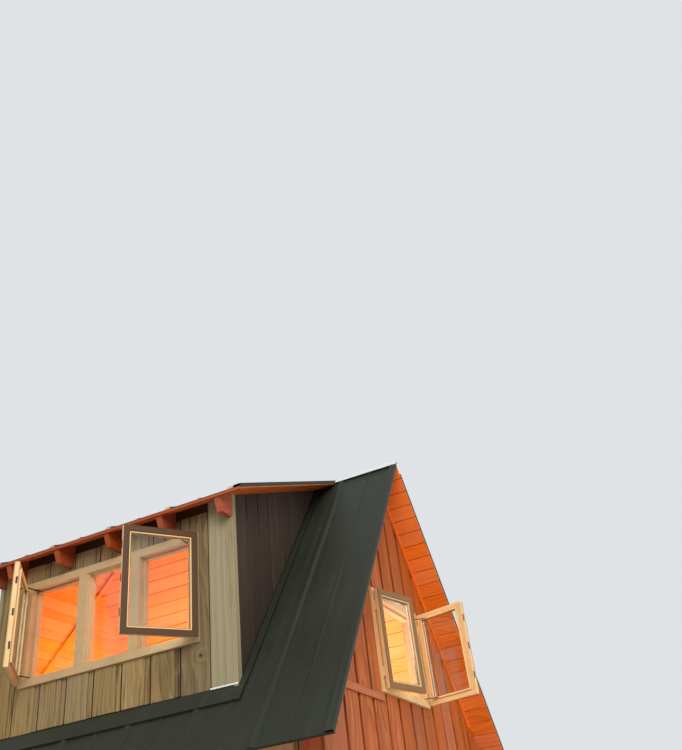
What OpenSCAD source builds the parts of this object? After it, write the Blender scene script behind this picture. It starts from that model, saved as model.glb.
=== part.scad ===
// Small a-frame cabin with a shed dormer on its left roof slope.
// X runs along the front wall to the right, Y runs back along the ridge, Z is up.
// The origin is on the ground below the middle of the cabin.

/* [Body] */
// Width over the side walls
body_w = 2530; // [2300:10:3000]
// Length from the front wall face to the back wall face
body_len = 2810; // [2760:10:3400]
// Thickness of the outer walls
wall_t = 100; // [80:5:130]
// Height and width of the timber skids under the side walls and the middle
skid_w = 140; // [120:10:160]
// Thickness of the ground floor deck
deck_t = 160; // [120:10:200]
// Top of the loft floor above the ground
loft_z = 2350; // [2340:5:2370]
// Thickness of the loft floor
loft_t = 80; // [60:5:90]

/* [Main roof] */
// Height of the eaves above the ground
eave_z = 2198; // [2180:1:2230]
// Slope of the main roof in degrees
main_pitch = 53; // [52:0.5:55]
// Overhang of the eaves beyond the side walls
eave_out = 286; // [260:2:320]
// Overhang of the roof beyond the gable walls
rake_out = 195; // [150:5:260]
// Thickness of the boards and metal of both roofs
roof_t = 30; // [24:1:36]
// Length of the ridge cap's leg on the right slope
cap_leg = 100; // [80:5:120]
// Length of the ridge cap's leg on the left slope
cap_lip = 34; // [25:1:50]
// Thickness of the ridge cap
cap_t = 6; // [4:1:8]
// Width of the ridge beam
beam_w = 40; // [38:2:60]
// Depth of the ridge beam
beam_d = 180; // [160:10:220]

/* [Dormer] */
// Length of the dormer wall along the ridge
dormer_len = 1855; // [1800:5:1900]
// Slope of the dormer roof in degrees
dormer_pitch = 22; // [21:0.1:23]
// Overhang of the dormer roof beyond the dormer wall
dormer_eave_out = 165; // [130:5:200]
// Overhang of the dormer roof beyond each cheek
dormer_rake_out = 162; // [140:1:200]
// Thickness of the dormer cheeks
cheek_t = 80; // [60:5:100]
// Spacing of the dormer rafters
rafter_pitch = 406.4; // [400:0.4:410]
// Width of a rafter
rafter_w = 38; // [35:1:45]
// Depth of a rafter, square to the dormer roof
rafter_d = 140; // [130:2:144]
// Distance from the rafter tails to the edge of the dormer roof
tail_back = 15; // [10:1:40]
// Length of the apron flashing down the slope from the foot of the dormer wall
apron_len = 120; // [90:5:150]
// Distance that the apron flashing runs on beyond each cheek
apron_end = 40; // [20:5:60]
// Thickness of the apron flashing
apron_t = 8; // [5:1:12]

/* [Windows] */
// Width of the faces of the window frames
frame_w = 50; // [40:1:55]
// Width of the mullions between the lights
mullion_w = 65; // [58:1:70]
// Width of the fixed light in the middle of the dormer window
fixed_light = 350; // [300:5:380]
// Distance that the frames stand out from the wall
frame_proud = 18; // [12:1:24]
// Depth of the frames from front to back
frame_d = 90; // [80:2:98]
// Thickness of the glazing units
pane_t = 20; // [16:1:24]
// Width of the members of a sash
sash_w = 44; // [40:1:52]
// Thickness of a sash
sash_t = 42; // [36:1:48]
// Distance that a shut sash would lap onto its frame
sash_lap = 34; // [24:1:36]
// Width of the dormer window
dormer_win_w = 1354; // [1300:2:1380]
// Height of the dormer window
dormer_win_h = 672; // [640:2:680]
// Height of the wall between the dormer window and the rafters
dormer_head_h = 31; // [25:1:45]
// Angle of the open sash nearer the front
dormer_front_angle = 56; // [30:1:80]
// Angle of the open sash nearer the back
dormer_back_angle = 52; // [30:1:80]
// Width of the gable windows and of the doorway below
bay_w = 794; // [760:2:810]
// Height of the gable windows
gable_win_h = 656; // [630:2:670]
// Height of the gable window sills above the ground
gable_sill_z = 2568; // [2560:1:2590]
// Angle of the open left gable sash
gable_left_angle = 14; // [10:1:60]
// Angle of the open right gable sash
gable_right_angle = 76; // [40:1:90]
// Distance from the front wall face to the side windows
side_win_y = 165; // [150:5:200]
// Width of the side windows
side_win_w = 800; // [700:10:900]
// Height of the side windows
side_win_h = 1000; // [900:10:1040]
// Top of the side windows above the ground
side_head_z = 2252; // [2230:2:2262]

/* [Door] */
// Top of the doorway above the ground
door_head_z = 2200; // [2180:5:2240]
// Width of the door frame members
jamb_w = 40; // [32:1:50]
// Thickness of the door leaf
leaf_t = 45; // [38:1:50]
// Gap around the door leaf
leaf_gap = 3; // [2:0.5:5]
// Height of the door handle above the floor
handle_h = 1000; // [950:10:1100]
// Height of the step in front of the door
step_h = 150; // [130:5:180]
// Depth of the step
step_d = 300; // [260:10:340]

/* [Hidden] */
$fn = 32;
half_w = body_w / 2;
half_len = body_len / 2;
inner_w = half_w - wall_t;
inner_len = half_len - wall_t;
eave_x = half_w + eave_out;
rise = tan(main_pitch);
ridge_z = eave_z + rise * eave_x;
roof_v = roof_t / cos(main_pitch);
dormer_rise = tan(dormer_pitch);
dormer_v = roof_t / cos(dormer_pitch);
dormer_x = half_w + dormer_eave_out;
dormer_half = dormer_len / 2;
dormer_roof_half = dormer_half + dormer_rake_out;
dormer_inner = dormer_half - cheek_t;
roof_half = half_len + rake_out;
deck_z = skid_w + deck_t;
rafter_v = rafter_d / cos(dormer_pitch);
gable_head_z = gable_sill_z + gable_win_h;
side_sill_z = side_head_z - side_win_h;
dormer_light = (dormer_win_w - 2 * frame_w - 2 * mullion_w - fixed_light) / 2;
dormer_lights = [dormer_light, fixed_light, dormer_light];
closed_light = (bay_w - 2 * frame_w - mullion_w) / 2;
// Each of the two gable sashes covers half of the one light
gable_light = bay_w / 2 - frame_w - sash_lap;
hinge_edge = 2;
hinge_leaf = [frame_w - sash_lap - hinge_edge, 3, 60];
cut = 1;

// Height of the main roof's upper face at a distance from the ridge line
function roof_top(x) = ridge_z - rise * abs(x);
// Height of the main roof's under face
function roof_under(x) = roof_top(x) - roof_v;
// Height of the dormer roof's upper face
function dormer_top(x) = ridge_z - dormer_rise * abs(x);
// Height of the dormer roof's under face
function dormer_under(x) = dormer_top(x) - dormer_v;
// Distance from the ridge at which the dormer roof's under face leaves the main roof
dormer_start = dormer_v / (rise - dormer_rise);
// Underside of the rafters at the dormer wall's face, where their tails turn level
rafter_foot_z = dormer_under(half_w) - rafter_v;
// Top and sill of the dormer window, hung below the rafters
dormer_head_z = rafter_foot_z - dormer_head_h;
dormer_sill_z = dormer_head_z - dormer_win_h;
// The rafters are set out from the middle of the front cheek
rafter_end = dormer_half - cheek_t / 2;
// Middle of the tails at both ends, flush with the outer faces of the cheeks
tail_end = dormer_half - rafter_w / 2;
// Whole spacings that fit from the front cheek on towards the back one
rafter_bays = floor(2 * rafter_end / rafter_pitch);
// Middles of the rafters between the cheeks
rafter_rows = [for (i = [1 : rafter_bays]) i * rafter_pitch - rafter_end];

// An outline in X and Z, drawn out along Y from y0 to y1
module along_y(y0, y1) {
  translate([0, y1, 0])
    rotate([90, 0, 0])
      linear_extrude(y1 - y0)
        children();
}

// A block between two opposite corners
module block(low, high) {
  translate(low)
    cube(high - low);
}

// The sheet of one main roof slope from x0 out to x1, on the side given by its sign
module slope(x0, x1) {
  polygon([[x0, roof_top(x0)], [x1, roof_top(x1)], [x1, roof_under(x1)], [x0, roof_under(x0)]]);
}

// Upper part of a gable between x0 and x1, from height z0 up to the roof
module gable_outline(x0, x1, z0) {
  peak = x0 < 0 && x1 > 0 ? [[0, roof_under(0)]] : [];
  polygon(concat([[x0, z0], [x1, z0], [x1, roof_under(x1)]], peak, [[x0, roof_under(x0)]]));
}

// Start of one light, measured from the left side of its frame
function light_x(lights, i) = i == 0 ? frame_w : light_x(lights, i - 1) + lights[i - 1] + mullion_w;

// A window frame, centred on X, with its outer face towards -Y and lights of the given widths
module window_frame(w, h, lights) {
  translate([-w / 2, -frame_proud, 0])
    difference() {
      cube([w, frame_d, h]);
      for (i = [0 : len(lights) - 1])
        translate([light_x(lights, i), -cut, frame_w])
          cube([lights[i], frame_d + 2 * cut, h - 2 * frame_w]);
    }
}

// Glazing of the chosen lights of a window frame
module window_panes(w, h, lights, chosen) {
  for (i = chosen)
    translate([-w / 2 + light_x(lights, i), frame_d / 2 - frame_proud, frame_w])
      cube([lights[i], pane_t, h - 2 * frame_w]);
}

// Puts an open sash on the left jamb of a frame of width w, turned out by its angle
module hung_left(w, angle) {
  translate([-w / 2 + frame_w - sash_lap, -frame_proud, frame_w - sash_lap])
    rotate([0, 0, -angle])
      children();
}

// A sash for one light, hinged on its left edge, with two hinge leaves on the frame
module sash(light, light_h, angle) {
  w = light + 2 * sash_lap;
  h = light_h + 2 * sash_lap;
  difference() {
    translate([0, -sash_t, 0])
      cube([w, sash_t, h]);
    translate([sash_w, -sash_t - cut, sash_w])
      cube([w - 2 * sash_w, sash_t + 2 * cut, h - 2 * sash_w]);
  }
  for (z = [h * 0.12, h * 0.88 - hinge_leaf.z])
    rotate([0, 0, angle])
      translate([-hinge_leaf.x, -hinge_leaf.y, z])
        cube(hinge_leaf);
}

// The glazing of that sash
module sash_pane(light, light_h) {
  w = light + 2 * sash_lap;
  h = light_h + 2 * sash_lap;
  translate([sash_w, -(sash_t + pane_t) / 2, sash_w])
    cube([w - 2 * sash_w, pane_t, h - 2 * sash_w]);
}

// Puts a window on the dormer wall, with its left towards the back
module on_dormer() {
  translate([-half_w, 0, dormer_sill_z])
    rotate([0, 0, -90])
      children();
}

// Puts a window in the front gable
module on_front() {
  translate([0, -half_len, gable_sill_z])
    children();
}

// Puts a window in a side wall
module on_side(side) {
  translate([side * half_w, -half_len + side_win_y + side_win_w / 2, side_sill_z])
    rotate([0, 0, side * 90])
      children();
}

module skids() {
  color("#6b5a48")
    for (side = [-1, 0, 1])
      translate([side * (half_w - skid_w / 2) - skid_w / 2, -half_len, 0])
        cube([skid_w, body_len, skid_w]);
}

module floor_deck() {
  color("#a5835c")
    block([-inner_w, -inner_len, skid_w], [inner_w, inner_len, deck_z]);
}

module loft_floor() {
  color("#c48a4f")
    block([-inner_w, -inner_len, loft_z - loft_t], [inner_w, inner_len, loft_z]);
}

module front_wall_side(side) {
  color("#a8683a")
    along_y(-half_len, -inner_len)
      if (side < 0)
        gable_outline(-half_w, -bay_w / 2, skid_w);
      else
        gable_outline(bay_w / 2, half_w, skid_w);
}

module front_wall_left() {
  front_wall_side(-1);
}

module front_wall_right() {
  front_wall_side(1);
}

module front_wall_middle() {
  color("#a8683a")
    block([-bay_w / 2, -half_len, door_head_z], [bay_w / 2, -inner_len, gable_sill_z]);
}

module front_gable_top() {
  color("#a8683a")
    along_y(-half_len, -inner_len)
      gable_outline(-bay_w / 2, bay_w / 2, gable_head_z);
}

module threshold() {
  color("#6e4f36")
    block([-bay_w / 2, -half_len, skid_w], [bay_w / 2, -inner_len, deck_z]);
}

module back_wall() {
  color("#a8683a")
    difference() {
      along_y(inner_len, half_len)
        gable_outline(-half_w, half_w, skid_w);
      block([-bay_w / 2, inner_len - cut, gable_sill_z], [bay_w / 2, half_len + cut, gable_head_z]);
    }
}

module side_wall(side) {
  outline = [[inner_w, skid_w], [half_w, skid_w], [half_w, roof_under(half_w)],
             [inner_w, roof_under(inner_w)]];
  color("#8d7a66")
    difference() {
      along_y(-inner_len, inner_len)
        polygon([for (p = outline) [side * p.x, p.y]]);
      on_side(side)
        translate([-side_win_w / 2, -cut, 0])
          cube([side_win_w, wall_t + 2 * cut, side_win_h]);
    }
}

module left_wall() {
  side_wall(-1);
}

module right_wall() {
  side_wall(1);
}

module roof_left_front() {
  color("#46524c")
    along_y(-roof_half, -dormer_inner)
      slope(0, -eave_x);
}

module roof_left_back() {
  color("#46524c")
    along_y(dormer_inner, roof_half)
      slope(0, -eave_x);
}

module roof_left_eave() {
  color("#46524c")
    along_y(-dormer_inner, dormer_inner)
      slope(-inner_w, -eave_x);
}

module roof_right() {
  color("#46524c")
    along_y(-roof_half, roof_half)
      slope(0, eave_x);
}

module ridge_beam() {
  x = beam_w / 2;
  color("#c48a4f")
    along_y(-inner_len, inner_len)
      polygon([[-x, ridge_z - beam_d], [x, ridge_z - beam_d], [x, roof_under(x)],
               [0, roof_under(0)], [-x, roof_under(x)]]);
}

module ridge_cap() {
  right = [cap_leg * cos(main_pitch), cap_leg * sin(main_pitch)];
  right_out = [cap_t * sin(main_pitch), cap_t * cos(main_pitch)];
  lip = [cap_lip * cos(main_pitch), cap_lip * sin(main_pitch)];
  left = [cap_lip * cos(dormer_pitch), cap_lip * sin(dormer_pitch)];
  left_out = [cap_t * sin(dormer_pitch), cap_t * cos(dormer_pitch)];
  top = cap_t / cos(main_pitch);
  dormer_cap_top = cap_t / cos(dormer_pitch);
  // right leg over the whole length, left lip on the steep slope at both ends
  color("#d8d4c8") {
    along_y(-roof_half, roof_half)
      polygon([[0, ridge_z], [right.x, ridge_z - right.y],
               [right.x + right_out.x, ridge_z - right.y + right_out.y], [0, ridge_z + top]]);
    for (side = [-1, 1])
      along_y(side < 0 ? -roof_half : dormer_roof_half, side < 0 ? -dormer_roof_half : roof_half)
        polygon([[0, ridge_z], [-lip.x, ridge_z - lip.y],
                 [-lip.x - right_out.x, ridge_z - lip.y + right_out.y], [0, ridge_z + top]]);
    along_y(-dormer_roof_half, dormer_roof_half)
      polygon([[0, ridge_z], [-left.x, ridge_z - left.y],
               [-left.x - left_out.x, ridge_z - left.y + left_out.y], [0, ridge_z + dormer_cap_top]]);
  }
}

module dormer_roof() {
  color("#46524c")
    difference() {
      along_y(-dormer_roof_half, dormer_roof_half)
        polygon([[0, dormer_top(0)], [-dormer_x, dormer_top(dormer_x)],
                 [-dormer_x, dormer_under(dormer_x)], [0, dormer_under(0)]]);
      roof_left_front();
      roof_left_back();
    }
}

// The outline of a dormer rafter from a distance off the ridge line to its tail
module rafter_outline(head) {
  tail = dormer_x - tail_back;
  slope_low = head < half_w ? [[-head, dormer_under(head) - rafter_v]] : [];
  polygon(concat([[-head, dormer_under(head)], [-tail, dormer_under(tail)],
                  [-tail, rafter_foot_z], [-half_w, rafter_foot_z]], slope_low));
}

// Whole rafters between the cheeks, and on the cheeks' ends a tail alone
module dormer_rafters() {
  color("#b56b33") {
    for (y = rafter_rows)
      along_y(y - rafter_w / 2, y + rafter_w / 2)
        rafter_outline(beam_w / 2);
    for (y = [-tail_end, tail_end])
      along_y(y - rafter_w / 2, y + rafter_w / 2)
        rafter_outline(half_w);
  }
}

module dormer_cheek(y0) {
  color("#5e3f30")
    along_y(y0, y0 + cheek_t)
      polygon([[-half_w, roof_top(half_w)], [-half_w, dormer_under(half_w)],
               [-dormer_start, dormer_under(dormer_start)]]);
}

module dormer_cheek_front() {
  dormer_cheek(-dormer_half);
}

module dormer_cheek_back() {
  dormer_cheek(dormer_inner);
}

// The dormer wall between two heights at its outer face, or up to its roof
module dormer_wall_outline(z0, z1) {
  low_out = z0 == 0 ? roof_top(half_w) : z0;
  low_in = z0 == 0 ? roof_top(inner_w) : z0;
  high_out = z1 == 0 ? dormer_under(half_w) : z1;
  high_in = z1 == 0 ? dormer_under(inner_w) : z1;
  polygon([[-half_w, low_out], [-half_w, high_out], [-inner_w, high_in], [-inner_w, low_in]]);
}

// A stretch of the dormer wall, notched where rafters pass through it
module dormer_wall(y0, y1, z0, z1) {
  color("#9c8f7c")
    difference() {
      along_y(y0, y1)
        dormer_wall_outline(z0, z1);
      dormer_rafters();
    }
}

module dormer_wall_low() {
  dormer_wall(-dormer_win_w / 2, dormer_win_w / 2, 0, dormer_sill_z);
}

module dormer_wall_head() {
  dormer_wall(-dormer_win_w / 2, dormer_win_w / 2, dormer_head_z, 0);
}

module dormer_wall_front() {
  dormer_wall(-dormer_inner, -dormer_win_w / 2, 0, 0);
}

module dormer_wall_back() {
  dormer_wall(dormer_win_w / 2, dormer_inner, 0, 0);
}

// A strip of sheet metal that lies on the slope below the dormer wall
module dormer_apron() {
  x = half_w + apron_len * cos(main_pitch);
  out = [apron_t * sin(main_pitch), apron_t * cos(main_pitch)];
  color("#4d5852")
    along_y(-dormer_half - apron_end, dormer_half + apron_end)
      polygon([[-half_w, roof_top(half_w)], [-x, roof_top(x)],
               [-x - out.x, roof_top(x) + out.y], [-half_w, roof_top(half_w) + apron_t / cos(main_pitch)]]);
}

module dormer_window_frame() {
  color("#b9a88c")
    on_dormer()
      window_frame(dormer_win_w, dormer_win_h, dormer_lights);
}

module dormer_fixed_pane() {
  color("#c9d6d4")
    on_dormer()
      window_panes(dormer_win_w, dormer_win_h, dormer_lights, [1]);
}

module dormer_sash_front() {
  color("#8f8472")
    on_dormer()
      mirror([1, 0, 0])
        hung_left(dormer_win_w, dormer_front_angle)
          sash(dormer_light, dormer_win_h - 2 * frame_w, dormer_front_angle);
}

module dormer_pane_front() {
  color("#c9d6d4")
    on_dormer()
      mirror([1, 0, 0])
        hung_left(dormer_win_w, dormer_front_angle)
          sash_pane(dormer_light, dormer_win_h - 2 * frame_w);
}

module dormer_sash_back() {
  color("#b9a88c")
    on_dormer()
      hung_left(dormer_win_w, dormer_back_angle)
        sash(dormer_light, dormer_win_h - 2 * frame_w, dormer_back_angle);
}

module dormer_pane_back() {
  color("#c9d6d4")
    on_dormer()
      hung_left(dormer_win_w, dormer_back_angle)
        sash_pane(dormer_light, dormer_win_h - 2 * frame_w);
}

module gable_window_frame() {
  color("#d9cfb8")
    on_front()
      window_frame(bay_w, gable_win_h, [bay_w - 2 * frame_w]);
}

module gable_sash_left() {
  color("#d9cfb8")
    on_front()
      hung_left(bay_w, gable_left_angle)
        sash(gable_light, gable_win_h - 2 * frame_w, gable_left_angle);
}

module gable_pane_left() {
  color("#c9d6d4")
    on_front()
      hung_left(bay_w, gable_left_angle)
        sash_pane(gable_light, gable_win_h - 2 * frame_w);
}

module gable_sash_right() {
  color("#d9cfb8")
    on_front()
      mirror([1, 0, 0])
        hung_left(bay_w, gable_right_angle)
          sash(gable_light, gable_win_h - 2 * frame_w, gable_right_angle);
}

module gable_pane_right() {
  color("#c9d6d4")
    on_front()
      mirror([1, 0, 0])
        hung_left(bay_w, gable_right_angle)
          sash_pane(gable_light, gable_win_h - 2 * frame_w);
}

module back_window_frame() {
  color("#d9cfb8")
    rotate([0, 0, 180])
      on_front()
        window_frame(bay_w, gable_win_h, [closed_light, closed_light]);
}

module back_window_pane() {
  color("#c9d6d4")
    rotate([0, 0, 180])
      on_front()
        window_panes(bay_w, gable_win_h, [closed_light, closed_light], [0, 1]);
}

module side_window_frames() {
  color("#d9cfb8")
    for (side = [-1, 1])
      on_side(side)
        window_frame(side_win_w, side_win_h, [side_win_w - 2 * frame_w]);
}

module side_window_panes() {
  color("#c9d6d4")
    for (side = [-1, 1])
      on_side(side)
        window_panes(side_win_w, side_win_h, [side_win_w - 2 * frame_w], [0]);
}

module door_frame() {
  w = bay_w / 2;
  color("#8a5a35")
    difference() {
      block([-w, -half_len - frame_proud, deck_z], [w, -inner_len, door_head_z]);
      block([-w + jamb_w, -half_len - frame_proud - cut, deck_z - cut],
            [w - jamb_w, -inner_len + cut, door_head_z - jamb_w]);
    }
}

module front_door() {
  w = bay_w / 2 - jamb_w - leaf_gap;
  color("#7a4b2c")
    block([-w, -half_len, deck_z], [w, -half_len + leaf_t, door_head_z - jamb_w - leaf_gap]);
}

module door_handle() {
  x = bay_w / 2 - jamb_w - leaf_gap - 60;
  color("#3a3a3a")
    translate([x, -half_len, deck_z + handle_h])
      rotate([90, 0, 0]) {
        cylinder(h = 8, d = 52);
        cylinder(h = 50, d = 18);
        translate([0, 0, 40])
          sphere(d = 48);
      }
}

module door_step() {
  color("#6b5a48")
    block([-bay_w / 2, -half_len - step_d, 0], [bay_w / 2, -half_len, step_h]);
}

skids();
floor_deck();
loft_floor();
front_wall_left();
front_wall_right();
front_wall_middle();
front_gable_top();
threshold();
back_wall();
left_wall();
right_wall();
roof_left_front();
roof_left_back();
roof_left_eave();
roof_right();
ridge_beam();
ridge_cap();
dormer_roof();
dormer_rafters();
dormer_cheek_front();
dormer_cheek_back();
dormer_wall_low();
dormer_wall_head();
dormer_wall_front();
dormer_wall_back();
dormer_apron();
dormer_window_frame();
dormer_fixed_pane();
dormer_sash_front();
dormer_pane_front();
dormer_sash_back();
dormer_pane_back();
gable_window_frame();
gable_sash_left();
gable_pane_left();
gable_sash_right();
gable_pane_right();
back_window_frame();
back_window_pane();
side_window_frames();
side_window_panes();
door_frame();
front_door();
door_handle();
door_step();
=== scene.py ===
"""Looks of a small a-frame cabin: board walls, ribbed metal roofs, a shed dormer and open casements.

Every length is in metres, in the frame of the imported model: X runs right along the front wall,
Y runs back along the ridge and Z is up.
"""

import logging
import math
import random
from contextlib import contextmanager
from dataclasses import dataclass, field
from enum import Enum
from typing import Callable, Iterator, Sequence

import bmesh
import bpy
from bpy.types import Material, Node, NodeSocket, NodeTree, Object
from mathutils import Matrix, Vector


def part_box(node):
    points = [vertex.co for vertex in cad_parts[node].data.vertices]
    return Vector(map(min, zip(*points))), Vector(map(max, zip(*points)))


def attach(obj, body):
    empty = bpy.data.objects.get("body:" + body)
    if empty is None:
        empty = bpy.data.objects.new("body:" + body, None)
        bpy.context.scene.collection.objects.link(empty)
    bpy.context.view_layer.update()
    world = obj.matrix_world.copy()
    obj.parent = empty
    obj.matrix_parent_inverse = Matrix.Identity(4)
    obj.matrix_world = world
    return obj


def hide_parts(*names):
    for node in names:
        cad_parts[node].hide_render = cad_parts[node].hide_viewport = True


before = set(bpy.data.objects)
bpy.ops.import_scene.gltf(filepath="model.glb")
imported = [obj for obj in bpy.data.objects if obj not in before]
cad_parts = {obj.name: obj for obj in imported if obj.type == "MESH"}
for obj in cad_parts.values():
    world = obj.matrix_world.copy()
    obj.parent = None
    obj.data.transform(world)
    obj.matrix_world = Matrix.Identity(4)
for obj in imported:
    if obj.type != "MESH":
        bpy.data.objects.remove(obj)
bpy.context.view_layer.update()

LOG = logging.getLogger("cabin")
BODY = "root"
MM = 0.001

# Slopes and thickness of the roofs, as the construction has them
MAIN_PITCH = math.radians(53)
DORMER_PITCH = math.radians(22)
ROOF_T = 0.030
# Name of the face attribute that holds one board's own tone and grain offset
TONE = "board_tone"
# Arrises are eased where two faces meet at more than this angle
SHARP = math.radians(30)
# A row has no joint nearer to its ends than this share of a board
SLIVER = 0.15
# Knots lie in cells, so many to a metre
KNOT_CELLS = 6.5
# Scale at which Blender's ring texture has one ring to a metre
RING_SCALE = 0.314
MIRROR_Y = Matrix.Scale(-1, 4, (0, 1, 0))
# Gives the stretches along the ridge that are covered at a distance down a slope
Spans = Callable[[float], list[tuple[float, float]]]


def down_slope(side: int, pitch: float) -> Vector:
    """Give the unit vector that runs down a roof slope, the right one for side 1, the left one for -1."""
    return Vector((side * math.cos(pitch), 0.0, -math.sin(pitch)))


def out_of_slope(side: int, pitch: float) -> Vector:
    """Give the unit vector that stands out of a roof slope, square to it."""
    return Vector((side * math.sin(pitch), 0.0, math.cos(pitch)))


class Lay(Enum):
    """How the boards of a piece lie: the way their grain runs, and the way in which they are wide."""

    UPRIGHT_FRONT = ((0, 0, 1), (1, 0, 0))
    UPRIGHT_SIDE = ((0, 0, 1), (0, 1, 0))
    LEVEL_FRONT = ((1, 0, 0), (0, 0, 1))
    LEVEL_SIDE = ((0, 1, 0), (0, 0, 1))
    FLAT_ALONG_X = ((1, 0, 0), (0, 1, 0))
    FLAT_ALONG_Y = ((0, 1, 0), (1, 0, 0))
    RIGHT_SLOPE = ((0, 1, 0), tuple(down_slope(1, MAIN_PITCH)))
    LEFT_SLOPE = ((0, 1, 0), tuple(down_slope(-1, MAIN_PITCH)))
    DORMER_SLOPE = ((0, 1, 0), tuple(down_slope(-1, DORMER_PITCH)))
    RAFTER = (tuple(down_slope(-1, DORMER_PITCH)), (math.sin(DORMER_PITCH), 0, -math.cos(DORMER_PITCH)))
    RIGHT_RAKE = (tuple(down_slope(1, MAIN_PITCH)), tuple(out_of_slope(1, MAIN_PITCH)))
    LEFT_RAKE = (tuple(down_slope(-1, MAIN_PITCH)), tuple(out_of_slope(-1, MAIN_PITCH)))

    def turn(self) -> tuple[float, float, float]:
        """Give the turn, as Euler angles, that brings the grain onto X and the width onto Y."""
        along, across = (Vector(v) for v in self.value)
        return tuple(Matrix((along, across, along.cross(across))).to_euler())


@dataclass(frozen=True)
class Cut:
    """A flat cut. What lies on the side that the normal points to is taken away."""

    point: Sequence[float]
    normal: Sequence[float]


@dataclass(frozen=True)
class Cabin:
    """Driving sizes of the cabin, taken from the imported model."""

    half_w: float
    half_len: float
    wall_t: float
    skid_z: float
    deck_z: float
    loft_low: float
    loft_z: float
    ridge_z: float
    eave_x: float
    rake_y: float
    beam_half: float
    beam_low: float
    dormer_x: float
    dormer_rake_y: float
    dormer_half: float
    dormer_inner: float

    @classmethod
    def from_frame(cls) -> "Cabin":
        """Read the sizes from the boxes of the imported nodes.

        Returns:
            The cabin's sizes.
        """
        back_low, back_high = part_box("back_wall")
        loft_low, loft_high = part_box("loft_floor")
        beam_low, beam_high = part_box("ridge_beam")
        cheek_low, cheek_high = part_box("dormer_cheek_back")
        dormer_low, dormer_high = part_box("dormer_roof")
        roof_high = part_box("roof_right")[1]
        return cls(
            half_w=back_high.x,
            half_len=back_high.y,
            wall_t=back_high.y - back_low.y,
            skid_z=back_low.z,
            deck_z=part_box("floor_deck")[1].z,
            loft_low=loft_low.z,
            loft_z=loft_high.z,
            ridge_z=roof_high.z,
            eave_x=roof_high.x,
            rake_y=roof_high.y,
            beam_half=beam_high.x,
            beam_low=beam_low.z,
            dormer_x=-dormer_low.x,
            dormer_rake_y=dormer_high.y,
            dormer_half=cheek_high.y,
            dormer_inner=cheek_low.y,
        )

    @property
    def inner_w(self) -> float:
        """Half of the width between the side walls."""
        return self.half_w - self.wall_t

    @property
    def inner_len(self) -> float:
        """Half of the length between the gable walls."""
        return self.half_len - self.wall_t

    def roof_top(self, x: float) -> float:
        """Height of the main roof's upper face at a distance from the ridge line."""
        return self.ridge_z - math.tan(MAIN_PITCH) * abs(x)

    def roof_under(self, x: float) -> float:
        """Height of the main roof's under face."""
        return self.roof_top(x) - ROOF_T / math.cos(MAIN_PITCH)

    def dormer_top(self, x: float) -> float:
        """Height of the dormer roof's upper face."""
        return self.ridge_z - math.tan(DORMER_PITCH) * abs(x)

    def dormer_under(self, x: float) -> float:
        """Height of the dormer roof's under face."""
        return self.dormer_top(x) - ROOF_T / math.cos(DORMER_PITCH)

    def under(self, side: int) -> Cut:
        """The cut along the under face of one slope of the main roof."""
        return Cut((0, 0, self.roof_under(0)), out_of_slope(side, MAIN_PITCH))


def pick(*objects: Object) -> None:
    """Select only these objects, the first of them active.

    Args:
        objects: objects to select.
    """
    bpy.ops.object.select_all(action="DESELECT")
    for obj in objects:
        obj.select_set(True)
    bpy.context.view_layer.objects.active = objects[0]


@contextmanager
def editing(obj: Object, mode: str = "VERT") -> Iterator[None]:
    """Open one object in edit mode, with all of its mesh selected.

    Args:
        obj: object to edit.
        mode: kind of element that is selected, VERT, EDGE or FACE.
    """
    pick(obj)
    bpy.ops.object.mode_set(mode="EDIT")
    bpy.ops.mesh.select_mode(type=mode)
    bpy.ops.mesh.select_all(action="SELECT")
    yield
    bpy.ops.object.mode_set(mode="OBJECT")


def choose(obj: Object, kind: str, test: Callable[..., bool]) -> None:
    """Select only the faces or edges that pass a test, in edit mode.

    Args:
        obj: object in edit mode.
        kind: faces or edges.
        test: tells whether one of them is selected.
    """
    bpy.ops.mesh.select_all(action="DESELECT")
    mesh = bmesh.from_edit_mesh(obj.data)
    for part in getattr(mesh, kind):
        if test(part):
            part.select_set(True)
    bmesh.update_edit_mesh(obj.data)


def push(*way: float) -> None:
    """Extrude what is selected, in edit mode, by a distance along each axis."""
    bpy.ops.mesh.extrude_region_move(TRANSFORM_OT_translate={"value": way})


def block(low: Sequence[float], high: Sequence[float]) -> Object:
    """Add a cube that fills the box between two corners.

    Args:
        low: lowest corner.
        high: highest corner.

    Returns:
        The new object, at the origin, with its place in its mesh.
    """
    low, high = Vector(low), Vector(high)
    bpy.ops.object.select_all(action="DESELECT")
    bpy.ops.mesh.primitive_cube_add(size=1, location=(low + high) / 2, scale=high - low)
    bpy.ops.object.transform_apply(location=True, rotation=True, scale=True)
    return bpy.context.object


def tint(obj: Object, draw: random.Random) -> Object:
    """Give all faces of one board the same random tone and grain offset.

    Args:
        obj: the board.
        draw: source of its tone.

    Returns:
        The same board.
    """
    tone = (draw.random(), draw.random(), draw.random(), 1.0)
    layer = obj.data.attributes.new(TONE, "FLOAT_COLOR", "FACE")
    layer.data.foreach_set("color", tone * len(layer.data))
    return obj


def join(parts: Sequence[Object]) -> Object:
    """Join objects into the first of them.

    Args:
        parts: one object or more.

    Returns:
        The joined object.
    """
    pick(*parts)
    if len(parts) > 1:
        bpy.ops.object.join()
    return bpy.context.object


def place(obj: Object, matrix: Matrix) -> Object:
    """Move an object's mesh by a matrix and leave the object at the origin.

    Args:
        obj: object to move.
        matrix: where its own frame goes. It may mirror.

    Returns:
        The same object.
    """
    pick(obj)
    obj.matrix_world = matrix
    bpy.ops.object.transform_apply(location=True, rotation=True, scale=True)
    if matrix.determinant() < 0:
        with editing(obj):
            bpy.ops.mesh.normals_make_consistent(inside=False)
    return obj


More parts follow.
